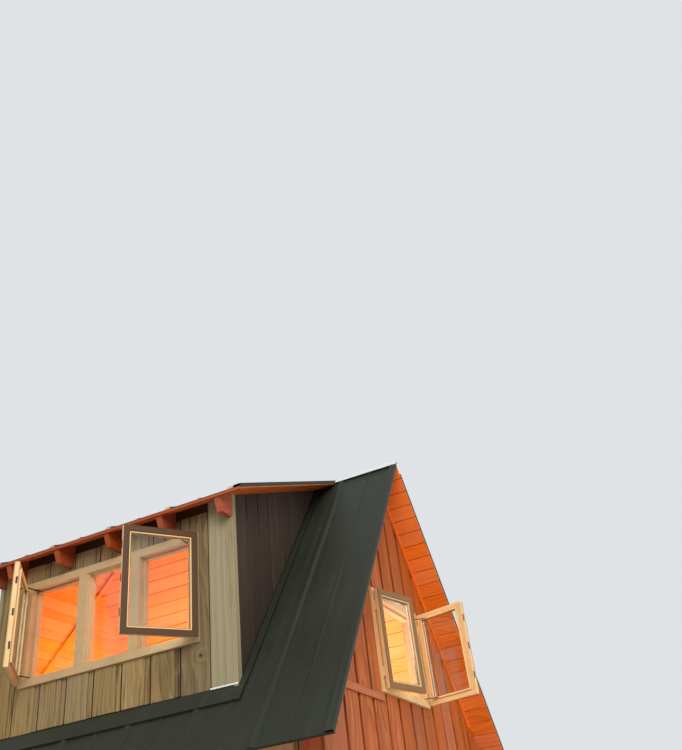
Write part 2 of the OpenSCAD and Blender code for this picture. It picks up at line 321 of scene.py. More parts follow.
def copy_to(obj: Object, matrix: Matrix) -> Object:
    """Copy an object with a mesh of its own and move the copy by a matrix.

    Args:
        obj: object to copy.
        matrix: where the copy goes. It may mirror.

    Returns:
        The copy.
    """
    pick(obj)
    bpy.ops.object.duplicate(linked=False)
    return place(bpy.context.object, matrix)


def modify(obj: Object, kind: str, **settings) -> Object:
    """Apply a modifier to an object.

    Args:
        obj: object to change.
        kind: Blender's name for the modifier.
        settings: the modifier's own properties.

    Returns:
        The same object.
    """
    pick(obj)
    modifier = obj.modifiers.new(kind.lower(), kind)
    for name, value in settings.items():
        setattr(modifier, name, value)
    bpy.ops.object.modifier_apply(modifier=modifier.name)
    return obj


def ease(obj: Object, width: float, segments: int = 1) -> Object:
    """Take the sharp arrises off an object with a bevel of so many facets across."""
    return modify(obj, "BEVEL", width=width, segments=segments, limit_method="ANGLE", angle_limit=SHARP)


def trim_off(obj: Object, *cuts: Cut) -> Object:
    """Cut an object off at flat cuts and close the cut ends.

    Args:
        obj: object to cut.
        cuts: the flat cuts, in the object's frame.

    Returns:
        The same object.
    """
    with editing(obj):
        for cut in cuts:
            bpy.ops.mesh.select_all(action="SELECT")
            bpy.ops.mesh.bisect(plane_co=cut.point, plane_no=cut.normal, clear_outer=True, use_fill=True)
    return obj


def cut_out(obj: Object, tool: Object) -> None:
    """Cut the shape of a closed tool out of an object, and remove the tool."""
    modify(obj, "BOOLEAN", operation="DIFFERENCE", solver="MANIFOLD", object=tool)
    bpy.data.objects.remove(tool)


def seams(start: float, end: float, first: float, pitch: float) -> tuple[float, ...]:
    """Work out where the joints of a row of boards lie.

    Args:
        start: start of the row.
        end: end of the row.
        first: place of any one joint.
        pitch: width that each board covers.

    Returns:
        The start, every joint between, and the end.
    """
    low = math.ceil((start - first) / pitch + SLIVER)
    high = math.floor((end - first) / pitch - SLIVER)
    return (start, *(first + k * pitch for k in range(low, high + 1)), end)


@dataclass(frozen=True)
class Row:
    """A row of boards in a wall's own frame: X along the wall, Y into it and Z up."""

    joints: tuple[float, ...]
    reach: tuple[float, float]
    depth: tuple[float, float]
    gap: float = 0.004
    upright: bool = True
    bevel: float = 0.002
    ragged: float = 0.0
    lip: float = 0.0
    lip_depth: float = 0.009

    def build(self, draw: random.Random) -> Object:
        """Make the boards as one object.

        Args:
            draw: source of each board's tone and of its small differences in length.

        Returns:
            The joined boards.
        """
        boards = []
        for left, right in zip(self.joints, self.joints[1:]):
            sink = draw.uniform(0, 0.6 * MM)
            near = self.reach[0] + draw.uniform(0, 1) * self.ragged
            far = self.reach[1] - draw.uniform(0, 1) * self.ragged
            low = [left + self.gap / 2, self.depth[0] + sink, near]
            high = [right - self.gap / 2, self.depth[1], far]
            if self.lip and right < self.joints[-1]:
                high[0] -= self.lip + 0.3 * MM
            if not self.upright:
                low[0], low[2] = low[2], low[0]
                high[0], high[2] = high[2], high[0]
            made = [block(low, high)]
            if self.lip and left > self.joints[0]:
                made.append(block((left - self.gap / 2 - self.lip, self.depth[0] + self.lip_depth, near),
                                  (left - self.gap / 2, self.depth[1], far)))
            boards.append(tint(join(made), draw))
        return ease(join(boards), self.bevel)


def linear(code: str) -> tuple[float, float, float, float]:
    """Turn an sRGB colour, as #rrggbb, into the linear values and full alpha that a shader takes."""
    values = [int(code[i : i + 2], 16) / 255 for i in (1, 3, 5)]
    return (*(v / 12.92 if v <= 0.04045 else ((v + 0.055) / 1.055) ** 2.4 for v in values), 1.0)


def add(tree: NodeTree, kind: str, sockets: dict | None = None, **settings) -> Node:
    """Add a node with its settings and its links.

    Args:
        tree: node tree that gets the node.
        kind: Blender's name for the node, without ShaderNode before it.
        sockets: a value, or the output of another node, for each input by name or number.
        settings: the node's own properties.

    Returns:
        The new node.
    """
    made = tree.nodes.new(f"ShaderNode{kind}")
    for name, value in settings.items():
        setattr(made, name, value)
    for name, value in (sockets or {}).items():
        if isinstance(value, NodeSocket):
            tree.links.new(value, made.inputs[name])
        else:
            made.inputs[name].default_value = value
    return made


def stretch(tree: NodeTree, at: NodeSocket, factors: Sequence[float]) -> NodeSocket:
    """Multiply a place by a factor along each axis."""
    return add(tree, "VectorMath", {0: at, 1: factors}, operation="MULTIPLY").outputs[0]


def noise(tree: NodeTree, at: NodeSocket, factors: Sequence[float], detail: float,
          rough: float = 0.5) -> NodeSocket:
    """Give soft noise at a place that is first multiplied by factors."""
    sockets = {"Vector": stretch(tree, at, factors), "Scale": 1.0, "Detail": detail, "Roughness": rough}
    return add(tree, "TexNoise", sockets).outputs["Fac"]


def scaled(tree: NodeTree, value: NodeSocket, factor: float | NodeSocket,
           plus: float | NodeSocket = 0.0) -> NodeSocket:
    """Multiply a value by a factor and add to it."""
    return add(tree, "Math", {0: value, 1: factor, 2: plus}, operation="MULTIPLY_ADD").outputs[0]


def ramp(tree: NodeTree, value: NodeSocket, start: float = 0.0, end: float = 1.0, low: float = 0.0,
         high: float = 1.0, smooth: bool = False) -> NodeSocket:
    """Map the range of a value from start to end onto another, from low to high."""
    return add(tree, "MapRange", {"Value": value, 1: start, 2: end, 3: low, 4: high},
               interpolation_type="SMOOTHSTEP" if smooth else "LINEAR").outputs[0]


def mix(tree: NodeTree, factor: NodeSocket, first: str | NodeSocket, second: str) -> NodeSocket:
    """Mix a hex colour, or the colour of a node, with a hex colour."""
    first = linear(first) if isinstance(first, str) else first
    return add(tree, "Mix", {"Factor": factor, "A": first, "B": linear(second)},
               data_type="RGBA").outputs["Result"]


def surface(tree: NodeTree, output: Node, colour: NodeSocket, rough: NodeSocket, height: NodeSocket,
            relief_mm: float, **more: float) -> None:
    """Finish a material with its shader, whose bumps come from a height.

    Args:
        tree: node tree of the material.
        output: its output node.
        colour: base colour.
        rough: roughness.
        height: height of the bumps, from 0 to 1.
        relief_mm: height of the highest bump in millimetres.
        more: other settings of the shader, their names in capitals and underscores for blanks.
    """
    bump = add(tree, "Bump", {"Height": height, "Strength": 0.5, "Distance": relief_mm * MM})
    sockets = {"Base Color": colour, "Roughness": rough, "Normal": bump.outputs[0]}
    sockets.update({name.replace("_", " "): value for name, value in more.items()})
    shader = add(tree, "BsdfPrincipled", sockets)
    tree.links.new(shader.outputs[0], output.inputs["Surface"])


def new_material(name: str) -> tuple[Material, NodeTree, Node]:
    """Make an empty material, and give it with its node tree and its output node.

    Args:
        name: name of the material.

    Returns:
        The material, its node tree and its output node.
    """
    material = bpy.data.materials.new(name)
    material.use_nodes = True
    tree = material.node_tree
    tree.nodes.clear()
    return material, tree, add(tree, "OutputMaterial")


@dataclass(frozen=True)
class Finish:
    """A finish, named for what the real material is and how its surface was made."""

    name: str
    slot: str

    def dress(self, tree: NodeTree, output: Node, at: NodeSocket) -> None:
        """Fill a node tree with the finish.

        Args:
            tree: node tree of the material.
            output: its output node.
            at: place on the piece in metres, turned so that the grain runs along X and the width along Y.
        """
        raise NotImplementedError

    def material(self, lay: Lay) -> Material:
        """Give the material of this finish for boards that lie one way, made once.

        Args:
            lay: how the boards lie.

        Returns:
            The material.
        """
        name = f"{self.name}_{lay.name.lower()}"
        if name in bpy.data.materials:
            return bpy.data.materials[name]
        material, tree, output = new_material(name)
        place_on = add(tree, "TexCoord").outputs["Object"]
        turned = add(tree, "Mapping", {"Vector": place_on, "Rotation": lay.turn()})
        self.dress(tree, output, turned.outputs[0])
        return material


@dataclass(frozen=True)
class Wood(Finish):
    """Sawn or planed softwood with growth rings, fibres, knots and a tone for each board."""

    early: str = "#c08a58"
    late: str = "#8a5a34"
    knot: str = "#4a2c1a"
    grey: str = "#8f887a"
    greyed: float = 0.0
    stain: str = "#4c4133"
    stained: float = 0.0
    ring_mm: float = 11.0
    fibre_mm: float = 3.0
    knot_mm: float = 13.0
    knots: float = 0.3
    spread: float = 0.35
    warmth: float = 0.06
    wander: float = 0.10
    rough: float = 0.62
    relief_mm: float = 0.5

    def dress(self, tree: NodeTree, output: Node, at: NodeSocket) -> None:
        """Fill a node tree with the wood.

        Args:
            tree: node tree of the material.
            output: its output node.
            at: place on the piece in metres, turned to its grain.
        """
        tone = add(tree, "Attribute", attribute_name=TONE)
        parts = add(tree, "SeparateColor", {0: tone.outputs["Color"]}).outputs
        # Each board is cut from another place of another log
        own = add(tree, "VectorMath", {0: tone.outputs["Vector"], 1: (9.0, 0.9, 0.11), 2: at},
                  operation="MULTIPLY_ADD").outputs[0]
        flat = stretch(tree, own, (1.0, 1.0, 0.0))
        cells = add(tree, "TexVoronoi", {"Vector": flat, "Scale": KNOT_CELLS})
        lot = add(tree, "SeparateColor", {0: cells.outputs["Color"]})
        chosen = add(tree, "Math", {0: lot.outputs[0], 1: self.knots}, operation="LESS_THAN").outputs[0]
        size = self.knot_mm * MM * KNOT_CELLS
        away = cells.outputs["Distance"]
        knot = scaled(tree, ramp(tree, away, size, size * 0.55, smooth=True), chosen)
        swirl = scaled(tree, ramp(tree, away, size * 4.5, 0.0, smooth=True), chosen)
        # The rings wander slowly along a board and wrap round its knots
        slow = stretch(tree, own, (1.1, 3.0, 3.0))
        drift = add(tree, "TexNoise", {"Vector": slow, "Scale": 1.0, "Detail": 2.0}).outputs["Color"]
        path = add(tree, "VectorMath", {0: drift, 1: (0.0, self.wander, self.wander), 2: own},
                   operation="MULTIPLY_ADD").outputs[0]
        sockets = {"Vector": stretch(tree, path, (0.06, 1.0, 1.0)),
                   "Scale": RING_SCALE / (self.ring_mm * MM), "Phase Offset": scaled(tree, swirl, 9.0)}
        rings = add(tree, "TexWave", sockets, wave_type="RINGS", rings_direction="X",
                    wave_profile="SAW").outputs["Fac"]
        across = 1.0 / (self.fibre_mm * MM)
        fibres = noise(tree, own, (across * 0.02, across * 0.5, across * 0.5), 3.0, 0.6)
        streaks = noise(tree, own, (0.9, 24.0, 24.0), 4.0, 0.55)
        grain = scaled(tree, fibres, 0.35, scaled(tree, streaks, 0.75, scaled(tree, rings, 0.45)))
        depth = ramp(tree, grain, 0.45, 1.12)
        colour = self.weathered(tree, own, parts[2], mix(tree, depth, self.early, self.late))
        colour = mix(tree, knot, colour, self.knot)
        colour = add(tree, "HueSaturation", {
            "Color": colour, "Value": ramp(tree, parts[0], low=1.0 - self.spread, high=1.0 + self.spread),
            "Saturation": ramp(tree, parts[1], low=1.0 - self.warmth, high=1.0 + self.warmth)}).outputs[0]
        surface(tree, output, colour, ramp(tree, depth, low=self.rough - 0.07, high=self.rough + 0.1),
                scaled(tree, fibres, 0.5, rings), self.relief_mm * 1.2, Specular_IOR_Level=0.35)

    def weathered(self, tree: NodeTree, own: NodeSocket, share: NodeSocket, colour: NodeSocket) -> NodeSocket:
        """Silver the wood in long patches and stain it in streaks.

        Args:
            tree: node tree of the material.
            own: place on the board, with the grain along X.
            share: the board's own share of grey.
            colour: colour of the fresh wood.

        Returns:
            The colour of the weathered wood, or the fresh colour where nothing is weathered.
        """
        if self.greyed:
            patch = scaled(tree, share, 0.35, noise(tree, own, (1.3, 9.0, 9.0), 5.0, 0.6))
            silver = ramp(tree, patch, 0.42, 0.85, self.greyed * 0.35, self.greyed)
            colour = mix(tree, silver, colour, self.grey)
        if self.stained:
            run = noise(tree, own, (2.2, 34.0, 34.0), 4.0, 0.65)
            colour = mix(tree, ramp(tree, run, 0.52, 0.74, 0.0, self.stained, True), colour, self.stain)
        return colour


@dataclass(frozen=True)
class PaintedSheet(Finish):
    """Roll-formed steel sheet with a baked paint coat: faintly wavy, dusty and satin."""

    paint: str = "#3c4540"
    dust: str = "#6d6f66"
    dusty: float = 0.35
    rough: float = 0.42
    wave_mm: float = 0.6

    def dress(self, tree: NodeTree, output: Node, at: NodeSocket) -> None:
        """Fill a node tree with the painted sheet.

        Args:
            tree: node tree of the material.
            output: its output node.
            at: place on the piece in metres, turned to its grain.
        """
        cloud = noise(tree, at, (1.7, 1.7, 1.7), 5.0, 0.62)
        dirt = scaled(tree, cloud, noise(tree, at, (26.0, 1.1, 8.0), 4.0, 0.6))
        fine = noise(tree, at, (260.0, 260.0, 260.0), 2.0)
        height = scaled(tree, fine, 0.04, noise(tree, at, (5.0, 5.0, 5.0), 1.0))
        colour = mix(tree, ramp(tree, dirt, 0.16, 0.42, 0.0, self.dusty), self.paint, self.dust)
        surface(tree, output, colour, ramp(tree, dirt, 0.1, 0.45, self.rough, self.rough + 0.25), height,
                self.wave_mm * 4, Metallic=0.1, Specular_IOR_Level=0.22)


@dataclass(frozen=True)
class Moulded(Finish):
    """Extruded vinyl, rubber or building felt: one even colour with a faint mottle and grime."""

    colour: str = "#b8a789"
    grime: str = "#6a5a45"
    dirty: float = 0.25
    rough: float = 0.46
    grit_mm: float = 2.0
    relief_mm: float = 0.05

    def dress(self, tree: NodeTree, output: Node, at: NodeSocket) -> None:
        """Fill a node tree with the moulded finish.

        Args:
            tree: node tree of the material.
            output: its output node.
            at: place on the piece in metres, turned to its grain.
        """
        cloud = noise(tree, at, (7.0, 7.0, 7.0), 6.0, 0.65)
        grit = 1.0 / (self.grit_mm * MM)
        colour = mix(tree, ramp(tree, cloud, 0.48, 0.78, 0.0, self.dirty), self.colour, self.grime)
        surface(tree, output, colour, ramp(tree, cloud, 0.3, 0.7, self.rough - 0.06, self.rough + 0.12),
                noise(tree, at, (grit, grit, grit), 2.0), self.relief_mm, Specular_IOR_Level=0.3)


@dataclass(frozen=True)
class Iron(Finish):
    """Forged or cast iron with black paint: dark, semi-gloss and slightly uneven."""

    colour: str = "#23221f"
    worn: str = "#5a544b"

    def dress(self, tree: NodeTree, output: Node, at: NodeSocket) -> None:
        """Fill a node tree with the painted iron.

        Args:
            tree: node tree of the material.
            output: its output node.
            at: place on the piece in metres, turned to its grain.
        """
        pits = noise(tree, at, (90.0, 90.0, 90.0), 5.0)
        surface(tree, output, mix(tree, ramp(tree, pits, 0.58, 0.72, 0.0, 0.5), self.colour, self.worn),
                ramp(tree, pits, low=0.3, high=0.6), pits, 0.3, Metallic=0.7)


@dataclass(frozen=True)
class Glazing(Finish):
    """Float glass with a faint green cast and a little dust: clear to look through, glossy at a slant."""

    clear: str = "#f2f7f4"
    dust: str = "#cfc8b8"

    def dress(self, tree: NodeTree, output: Node, at: NodeSocket) -> None:
        """Fill a node tree with the glass. Shadow rays pass, so that light reaches the room.

        Args:
            tree: node tree of the material.
            output: its output node.
            at: place on the piece in metres, turned to its grain.
        """
        film = noise(tree, at, (5.0, 5.0, 5.0), 6.0, 0.7)
        pane = add(tree, "BsdfPrincipled", {
            "Base Color": mix(tree, ramp(tree, film, 0.5, 0.8, 0.0, 0.06), self.clear, self.dust),
            "Roughness": ramp(tree, film, 0.45, 0.8, 0.0, 0.02), "Transmission Weight": 1.0, "IOR": 1.45})
        through = add(tree, "BsdfTransparent", {"Color": linear(self.clear)})
        shadow = add(tree, "LightPath").outputs["Is Shadow Ray"]
        either = add(tree, "MixShader", {0: shadow, 1: pane.outputs[0], 2: through.outputs[0]})
        tree.links.new(either.outputs[0], output.inputs["Surface"])


# Rough-sawn softwood that has stood in the weather: silver over tan, with dark runs and knots
WEATHERED = Wood("weathered_rough_sawn_pine", "weathered_boards", early="#a8885a", late="#6a4d2c",
                 knot="#3a2817", grey="#8a7c58", greyed=0.6, stain="#423524", stained=0.9, ring_mm=14.0,
                 fibre_mm=5.0, knots=0.28, spread=0.3, warmth=0.12, rough=0.8, relief_mm=1.2)
# The same boards, paler: painted light on the corner boards of the dormer, which catch the light
PALE_BOARD = Wood("highlit_rough_sawn_pine", "weathered_boards", early="#a39572", late="#7f7150", knot="#5d4931",
                  grey="#93886d", greyed=0.5, stain="#6d5e43", stained=0.45, ring_mm=14.0, fibre_mm=5.0,
                  knots=0.0, spread=0.04, wander=0.02, rough=0.78, relief_mm=1.0)
# Oiled cedar channel boards: orange-brown with long dark streaks
CEDAR = Wood("oiled_cedar_channel_boards", "cedar_boards", early="#c7682a", late="#8f3f15", knot="#4a2010",
             grey="#80522f", greyed=0.12, stain="#552812", stained=0.55, ring_mm=12.0, fibre_mm=4.0,
             knots=0.22, spread=0.18, rough=0.58, relief_mm=0.8)
# Planed cedar roof boards seen from below: bright orange, clear grain and red knots
ROOF_BOARD = Wood("planed_cedar_roof_boards", "cedar_boards", early="#ef7d30", late="#d8621e", knot="#7c3010",
                  ring_mm=11.0, fibre_mm=3.0, knots=0.30, spread=0.05, warmth=0.03, rough=0.6, relief_mm=0.4)
# Cheek boards coloured dark red-brown, almost black in the grain: painted shade, as the cheeks stand in
# shadow
CHEEK = Wood("shaded_dark_cheek_boards", "cheek_boards", early="#3f2b1e", late="#241811", knot="#150e0a",
             grey="#45392e", greyed=0.25, stain="#1d140e", stained=0.5, ring_mm=12.0, fibre_mm=4.0, knots=0.2,
             spread=0.2, rough=0.72, relief_mm=0.8)
# Planed pine lining: warm yellow-orange, partly its own colour and partly painted warm lamplight of the room
PINE = Wood("lamplit_planed_pine", "pine_lining", early="#fbb356", late="#ea913c", knot="#a8531e", ring_mm=9.0,
            fibre_mm=3.0, knots=0.35, spread=0.08, rough=0.5, relief_mm=0.3)
# Planed rafters: deep orange-brown with the sheen of oil
RAFTER = Wood("planed_rafter_timber", "rafter_wood", early="#b4562c", late="#7e3514", knot="#4c1d0c",
              ring_mm=8.0, fibre_mm=3.0, knots=0.18, spread=0.10, rough=0.55, relief_mm=0.4)
# Oiled door boards: dark honey brown
DOOR = Wood("oiled_door_boards", "door_wood", early="#9a6238", late="#633619", knot="#321a0d", ring_mm=10.0,
            fibre_mm=3.0, knots=0.2, spread=0.12, rough=0.5, relief_mm=0.5)
# Ground timbers and step: grey-brown and rough, with dark streaks
GROUND = Wood("rough_ground_timber", "ground_timber", early="#87755c", late="#594936", knot="#2f2419",
              grey="#7d7668", greyed=0.6, stain="#35291d", stained=0.6, ring_mm=10.0, fibre_mm=5.0, knots=0.2,
              spread=0.15, rough=0.85, relief_mm=1.2)
# Satin green-grey paint on ribbed steel: matt, dusty, with broad soft highlights
ROOF_STEEL = PaintedSheet("green_grey_painted_steel", "roof_metal", paint="#282c23", dust="#494b3f",
                          dusty=0.25)
# Near-white on the folded ridge sheet, slightly chalky: painted highlight of the bright line along the ridge
RIDGE_STEEL = PaintedSheet("highlight_pale_steel", "ridge_metal", paint="#e4e5df", dust="#b9b8ad", dusty=0.35,
                           rough=0.5, wave_mm=0.3)
# Tan window vinyl: smooth, low sheen, a little grime
TAN_VINYL = Moulded("tan_extruded_vinyl", "window_vinyl", colour="#bb9c72", grime="#7a603f")
# Grey-brown film on the outer faces of the sashes
TAUPE_VINYL = Moulded("taupe_extruded_vinyl", "sash_taupe", colour="#4f331b", grime="#362312")
# The same film, paler and warmer, on the sashes of the gable window
BROWN_VINYL = Moulded("brown_extruded_vinyl", "window_vinyl", colour="#7f5b35", grime="#573b1f")
# Almond vinyl on the room side of the sashes and round the gable window
ALMOND_VINYL = Moulded("almond_extruded_vinyl", "window_vinyl", colour="#e0bb82", grime="#9a7a4e", dirty=0.15)
# Tan strip that seals the glass to its sash
SEAL = Moulded("tan_sealing_strip", "window_glass", colour="#8d6f49", grime="#5c4730", rough=0.6)
# Black rubber closure strip: matt and soft
GASKET = Moulded("black_rubber_gasket", "window_glass", colour="#2c2a27", grime="#494339", rough=0.7)
# Pale plugs in the ends of the ribs: painted highlights where the rib ends catch the light
RIB_END_HIGHLIGHT = Moulded("rib_end_highlight_plugs", "roof_metal", colour="#c8a083", grime="#8a6a50", rough=0.8)
# Dark felt behind the boards: dull, lightly fibrous
FELT = Moulded("dark_building_felt", "weathered_boards", colour="#33190e", grime="#3c2a1f", rough=0.9,
               relief_mm=0.5)
# Clear float glass
GLASS = Glazing("clear_float_glass", "window_glass")
# Black iron door furniture and window stays
IRON = Iron("black_painted_iron", "black_iron")


@dataclass(frozen=True)
class Piece:
    """One finished piece with its finish and the way that its boards lie."""

    obj: Object
    finish: Finish
    lay: Lay


@dataclass
class Assembly:
    """A sub-assembly: it builds its meshes, and then dresses them."""

    cabin: Cabin
    seed: int = 1
    pieces: list[Piece] = field(default_factory=list, init=False)

    def __post_init__(self) -> None:
        """Start the random draws of this sub-assembly."""
        self.draw = random.Random(self.seed)

    def board(self, low: Sequence[float], high: Sequence[float]) -> Object:
        """Add a square-edged board with a tone of its own."""
        return tint(block(low, high), self.draw)

    def keep(self, obj: Object, name: str, finish: Finish, lay: Lay, *nodes: str) -> None:
        """Take a finished mesh into the sub-assembly.

        Args:
            obj: the mesh object, with its place in its mesh.
            name: name of the piece.
            finish: what it is made of.
            lay: how its boards lie.
            nodes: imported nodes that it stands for.
        """
        obj.name = name
        obj.data.name = name
        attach(obj, BODY)
        if nodes:
            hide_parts(*nodes)
        self.pieces.append(Piece(obj, finish, lay))

    def build(self) -> None:
        """Make the meshes."""
        raise NotImplementedError

    def dress(self) -> None:
        """Give every piece its material."""
        for piece in self.pieces:
            piece.obj.data.materials.clear()
            piece.obj.data.materials.append(piece.finish.material(piece.lay))


def wall_frame(x: float, y: float, turn: float, z: float = 0.0) -> Matrix:
    """Give the frame of a wall turned by degrees: X to the right seen from outside, Y into it and Z up."""
    return Matrix.Translation((x, y, z)) @ Matrix.Rotation(math.radians(turn), 4, "Z")


@dataclass(frozen=True)
class Hole:
    """A rectangular opening through a wall, in the wall's own frame."""

    left: float
    right: float
    low: float
    high: float
    near: float = -0.1
    far: float = 0.3

    @classmethod
    def of(cls, node: str, axis: int) -> "Hole":
        """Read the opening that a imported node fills, whose width runs along X, 0, or along Y, 1."""
        low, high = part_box(node)
        return cls(low[axis], high[axis], low.z, high.z)

    def tool(self) -> Object:
        """Make the block that cuts the opening, from before the wall to behind it."""
        return block((self.left, self.near, self.low), (self.right, self.far, self.high))


@dataclass(frozen=True)
class Shell:
    """The body of a wall in its own frame, from the face of its felt to the face of its lining."""

    matrix: Matrix
    span: Sequence[float]
    rise: tuple[float, float]
    depth: tuple[float, float]
    cuts: Sequence[Cut]
    holes: Sequence[Hole] = ()


@dataclass
class Wall(Assembly):
    """A framed wall: boards outside, a dark felted core, and planks inside."""

    board_t: float = 0.020
    felt_depth: float = 0.010
    lining_t: float = 0.012
    lining_gap: float = 0.002
    lining_widths: tuple[float, float] = (0.089, 0.058)
    reveal_near: float = 0.072
    reveal_t: float = 0.012
    reveal_proud: float = 0.004

    def lining_joints(self, low: float, high: float) -> tuple[float, ...]:
        """Work out the joints of the level lining, which has a wide and a narrow face in turn.

        Args:
            low: foot of the lining.
            high: its head.

        Returns:
            The foot, every joint between, and the head.
        """
        joints = [low]
        while joints[-1] < high - self.lining_widths[1]:
            joints.append(joints[-1] + self.lining_widths[len(joints) % 2])
        return (*joints[:-1], high)

    def layers(self, name: str, shell: Shell, row: Row, looks: tuple[Finish, Lay, Lay], *nodes: str) -> None:
        """Make the boards, core and lining of one wall and put them in place.

        Args:
            name: first part of the pieces' names.
            shell: the wall's body.
            row: its outer boards.
            looks: finish of the outer boards, their lay, and the lay of the lining.
            nodes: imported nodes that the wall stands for.
        """
        finish, outer_lay, inner_lay = looks
        (left, right), (foot, head), (felt, thick) = shell.span, shell.rise, shell.depth
        siding = row.build(self.draw)
        core = block((left, felt, foot), (right, thick - self.lining_t, head))
        lining = Row(self.lining_joints(foot, head), (left, right), (thick - self.lining_t, thick),
                     gap=self.lining_gap, upright=False).build(self.draw)
        for part in (siding, core, lining):
            trim_off(part, *shell.cuts)
            for hole in shell.holes:
                cut_out(part, hole.tool())
            place(part, shell.matrix)
        self.keep(siding, f"{name}_boards", finish, outer_lay, *nodes)
        self.keep(core, f"{name}_core", FELT, outer_lay)
        self.keep(lining, f"{name}_lining", PINE, inner_lay)

    def reveal(self, name: str, matrix: Matrix, hole: Hole, lay: Lay) -> None:
        """Line an opening behind its frame with four thin boards.

        Args:
            name: first part of the piece's name.
            matrix: the wall's own frame.
            hole: the opening.
            lay: how the boards lie.
        """
        near, thin, low, high = self.reveal_near, self.reveal_t, hole.low, hole.high
        far = self.cabin.wall_t + self.reveal_proud
        left, right = hole.left + thin, hole.right - thin
        sides = ((hole.left, left, low, high), (right, hole.right, low, high),
                 (left, right, low, low + thin), (left, right, high - thin, high))
        boards = [self.board((a, near, c), (b, far, d)) for a, b, c, d in sides]
        self.keep(place(ease(join(boards), 0.001), matrix), f"{name}_reveal", PINE, lay)


@dataclass
class GableWalls(Wall):
    """The front and back gable walls of channel boards, with corner boards and the rake batten."""

    cover: float = 0.206
    first_seam: float = -0.125
    channel: float = 0.008
    lip: float = 0.036
    corner_w: float = 0.100
    corner_t: float = 0.018
    return_past: float = 0.012
    batten: float = 0.016
    belt_h: float = 0.045
    belt_t: float = 0.014
    belt_drop: float = 0.012

    def build(self) -> None:
        """Make both gables."""
        cabin = self.cabin
        window = Hole.of("gable_window_frame", 0)
        low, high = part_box("door_frame")
        door = Hole(low.x, high.x, cabin.skid_z - 0.01, high.z)
        front, back = wall_frame(0, -cabin.half_len, 0), wall_frame(0, cabin.half_len, 180)
        self.gable("front_wall", front, [window, door], "front_wall_left", "front_wall_right",
                   "front_wall_middle", "front_gable_top")
        self.gable("back_wall", back, [window], "back_wall")
        for name, matrix in (("front", front), ("back", back)):
            self.reveal(f"{name}_window", matrix, window, Lay.LEVEL_FRONT)
            self.trims(name, matrix, window)

    def gable(self, name: str, matrix: Matrix, holes: list[Hole], *nodes: str) -> None:
        """Make one gable wall.

        Args:
            name: first part of its pieces' names.
            matrix: its own frame.
            holes: its openings.
            nodes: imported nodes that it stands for.
        """
        cabin = self.cabin
        edge, rise = cabin.half_w, (cabin.skid_z, cabin.ridge_z)
        row = Row(seams(-edge, edge, self.first_seam, self.cover), rise, (0.0, self.board_t),
                  gap=self.channel, lip=self.lip)
        shell = Shell(matrix, (-edge, edge), rise, (self.felt_depth, cabin.wall_t),
                      [cabin.under(-1), cabin.under(1)], holes)
        self.layers(name, shell, row, (CEDAR, Lay.UPRIGHT_FRONT, Lay.LEVEL_FRONT), *nodes)

    def trims(self, name: str, matrix: Matrix, window: Hole) -> None:
        """Make the corner boards, the battens under the rakes and the belt beside the window.

        Args:
            name: first part of the pieces' names.
            matrix: the wall's own frame.
            window: its window opening.
        """
        cabin = self.cabin
        edge, thick = cabin.half_w, self.corner_t
        top = cabin.roof_under(edge + thick)
        corners = []
        for side in (-1, 1):
            # The return of the corner board covers the end of the gable wall
            for inner, near, far in ((edge - self.corner_w + thick, -thick, 0.0),
                                     (edge, 0.0, cabin.wall_t + self.return_past)):
                left, right = sorted((side * (edge + thick), side * inner))
                corners.append(self.board((left, near, cabin.skid_z), (right, far, top)))
        corners = place(ease(join(corners), 0.002, 2), matrix)
        self.keep(corners, f"{name}_corner_boards", CEDAR, Lay.UPRIGHT_FRONT)
        length = edge / math.cos(MAIN_PITCH) + 0.02
        for side, way, lay in ((1, "right", Lay.RIGHT_RAKE), (-1, "left", Lay.LEFT_RAKE)):
            strip = self.board((0.0, -self.batten, -ROOF_T - self.batten), (length, 0.0, -ROOF_T))
            if side < 0:
                place(strip, MIRROR_Y)
            place(ease(strip, 0.002), slope_frame(side, MAIN_PITCH, cabin.ridge_z))
            trim_off(strip, Cut((0, 0, 0), (-side, 0, 0)))
            self.keep(place(strip, matrix), f"{name}_{way}_rake_batten", ROOF_BOARD, lay)
        low = window.low - self.belt_drop
        belt = self.board((self.corner_w - edge, -self.belt_t, low - self.belt_h), (window.left, 0.0, low))
        trim_off(ease(belt, 0.002), cabin.under(-1))
        self.keep(place(belt, matrix), f"{name}_belt", CEDAR, Lay.LEVEL_FRONT)


@dataclass
class SideWalls(Wall):
    """The low left and right walls of weathered boards, each with one window opening."""

    cover: float = 0.210
    gap: float = 0.009
    lip: float = 0.034

    def build(self) -> None:
        """Make both side walls."""
        cabin = self.cabin
        low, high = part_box("side_window_frames")
        rise = (cabin.skid_z, cabin.roof_under(cabin.inner_w))
        row = Row(seams(-cabin.half_len, cabin.half_len, 0.0, self.cover), rise, (0.0, self.board_t),
                  gap=self.gap, lip=self.lip)
        # In its own frame, each of the two walls has the roof's slope falling towards its outer face
        roof = Cut((0, 0, cabin.roof_under(cabin.half_w)), (0, -math.sin(MAIN_PITCH), math.cos(MAIN_PITCH)))
        for side, way in ((-1, "left"), (1, "right")):
            matrix = wall_frame(side * cabin.half_w, 0, side * 90)
            hole = Hole(*sorted((side * low.y, side * high.y)), low.z, high.z)
            shell = Shell(matrix, (-cabin.inner_len, cabin.inner_len), rise,
                          (self.felt_depth, cabin.wall_t), [roof], [hole])
            looks = (WEATHERED, Lay.UPRIGHT_SIDE, Lay.LEVEL_SIDE)
            self.layers(f"{way}_wall", shell, row, looks, f"{way}_wall")
            self.reveal(f"{way}_window", matrix, hole, Lay.LEVEL_SIDE)


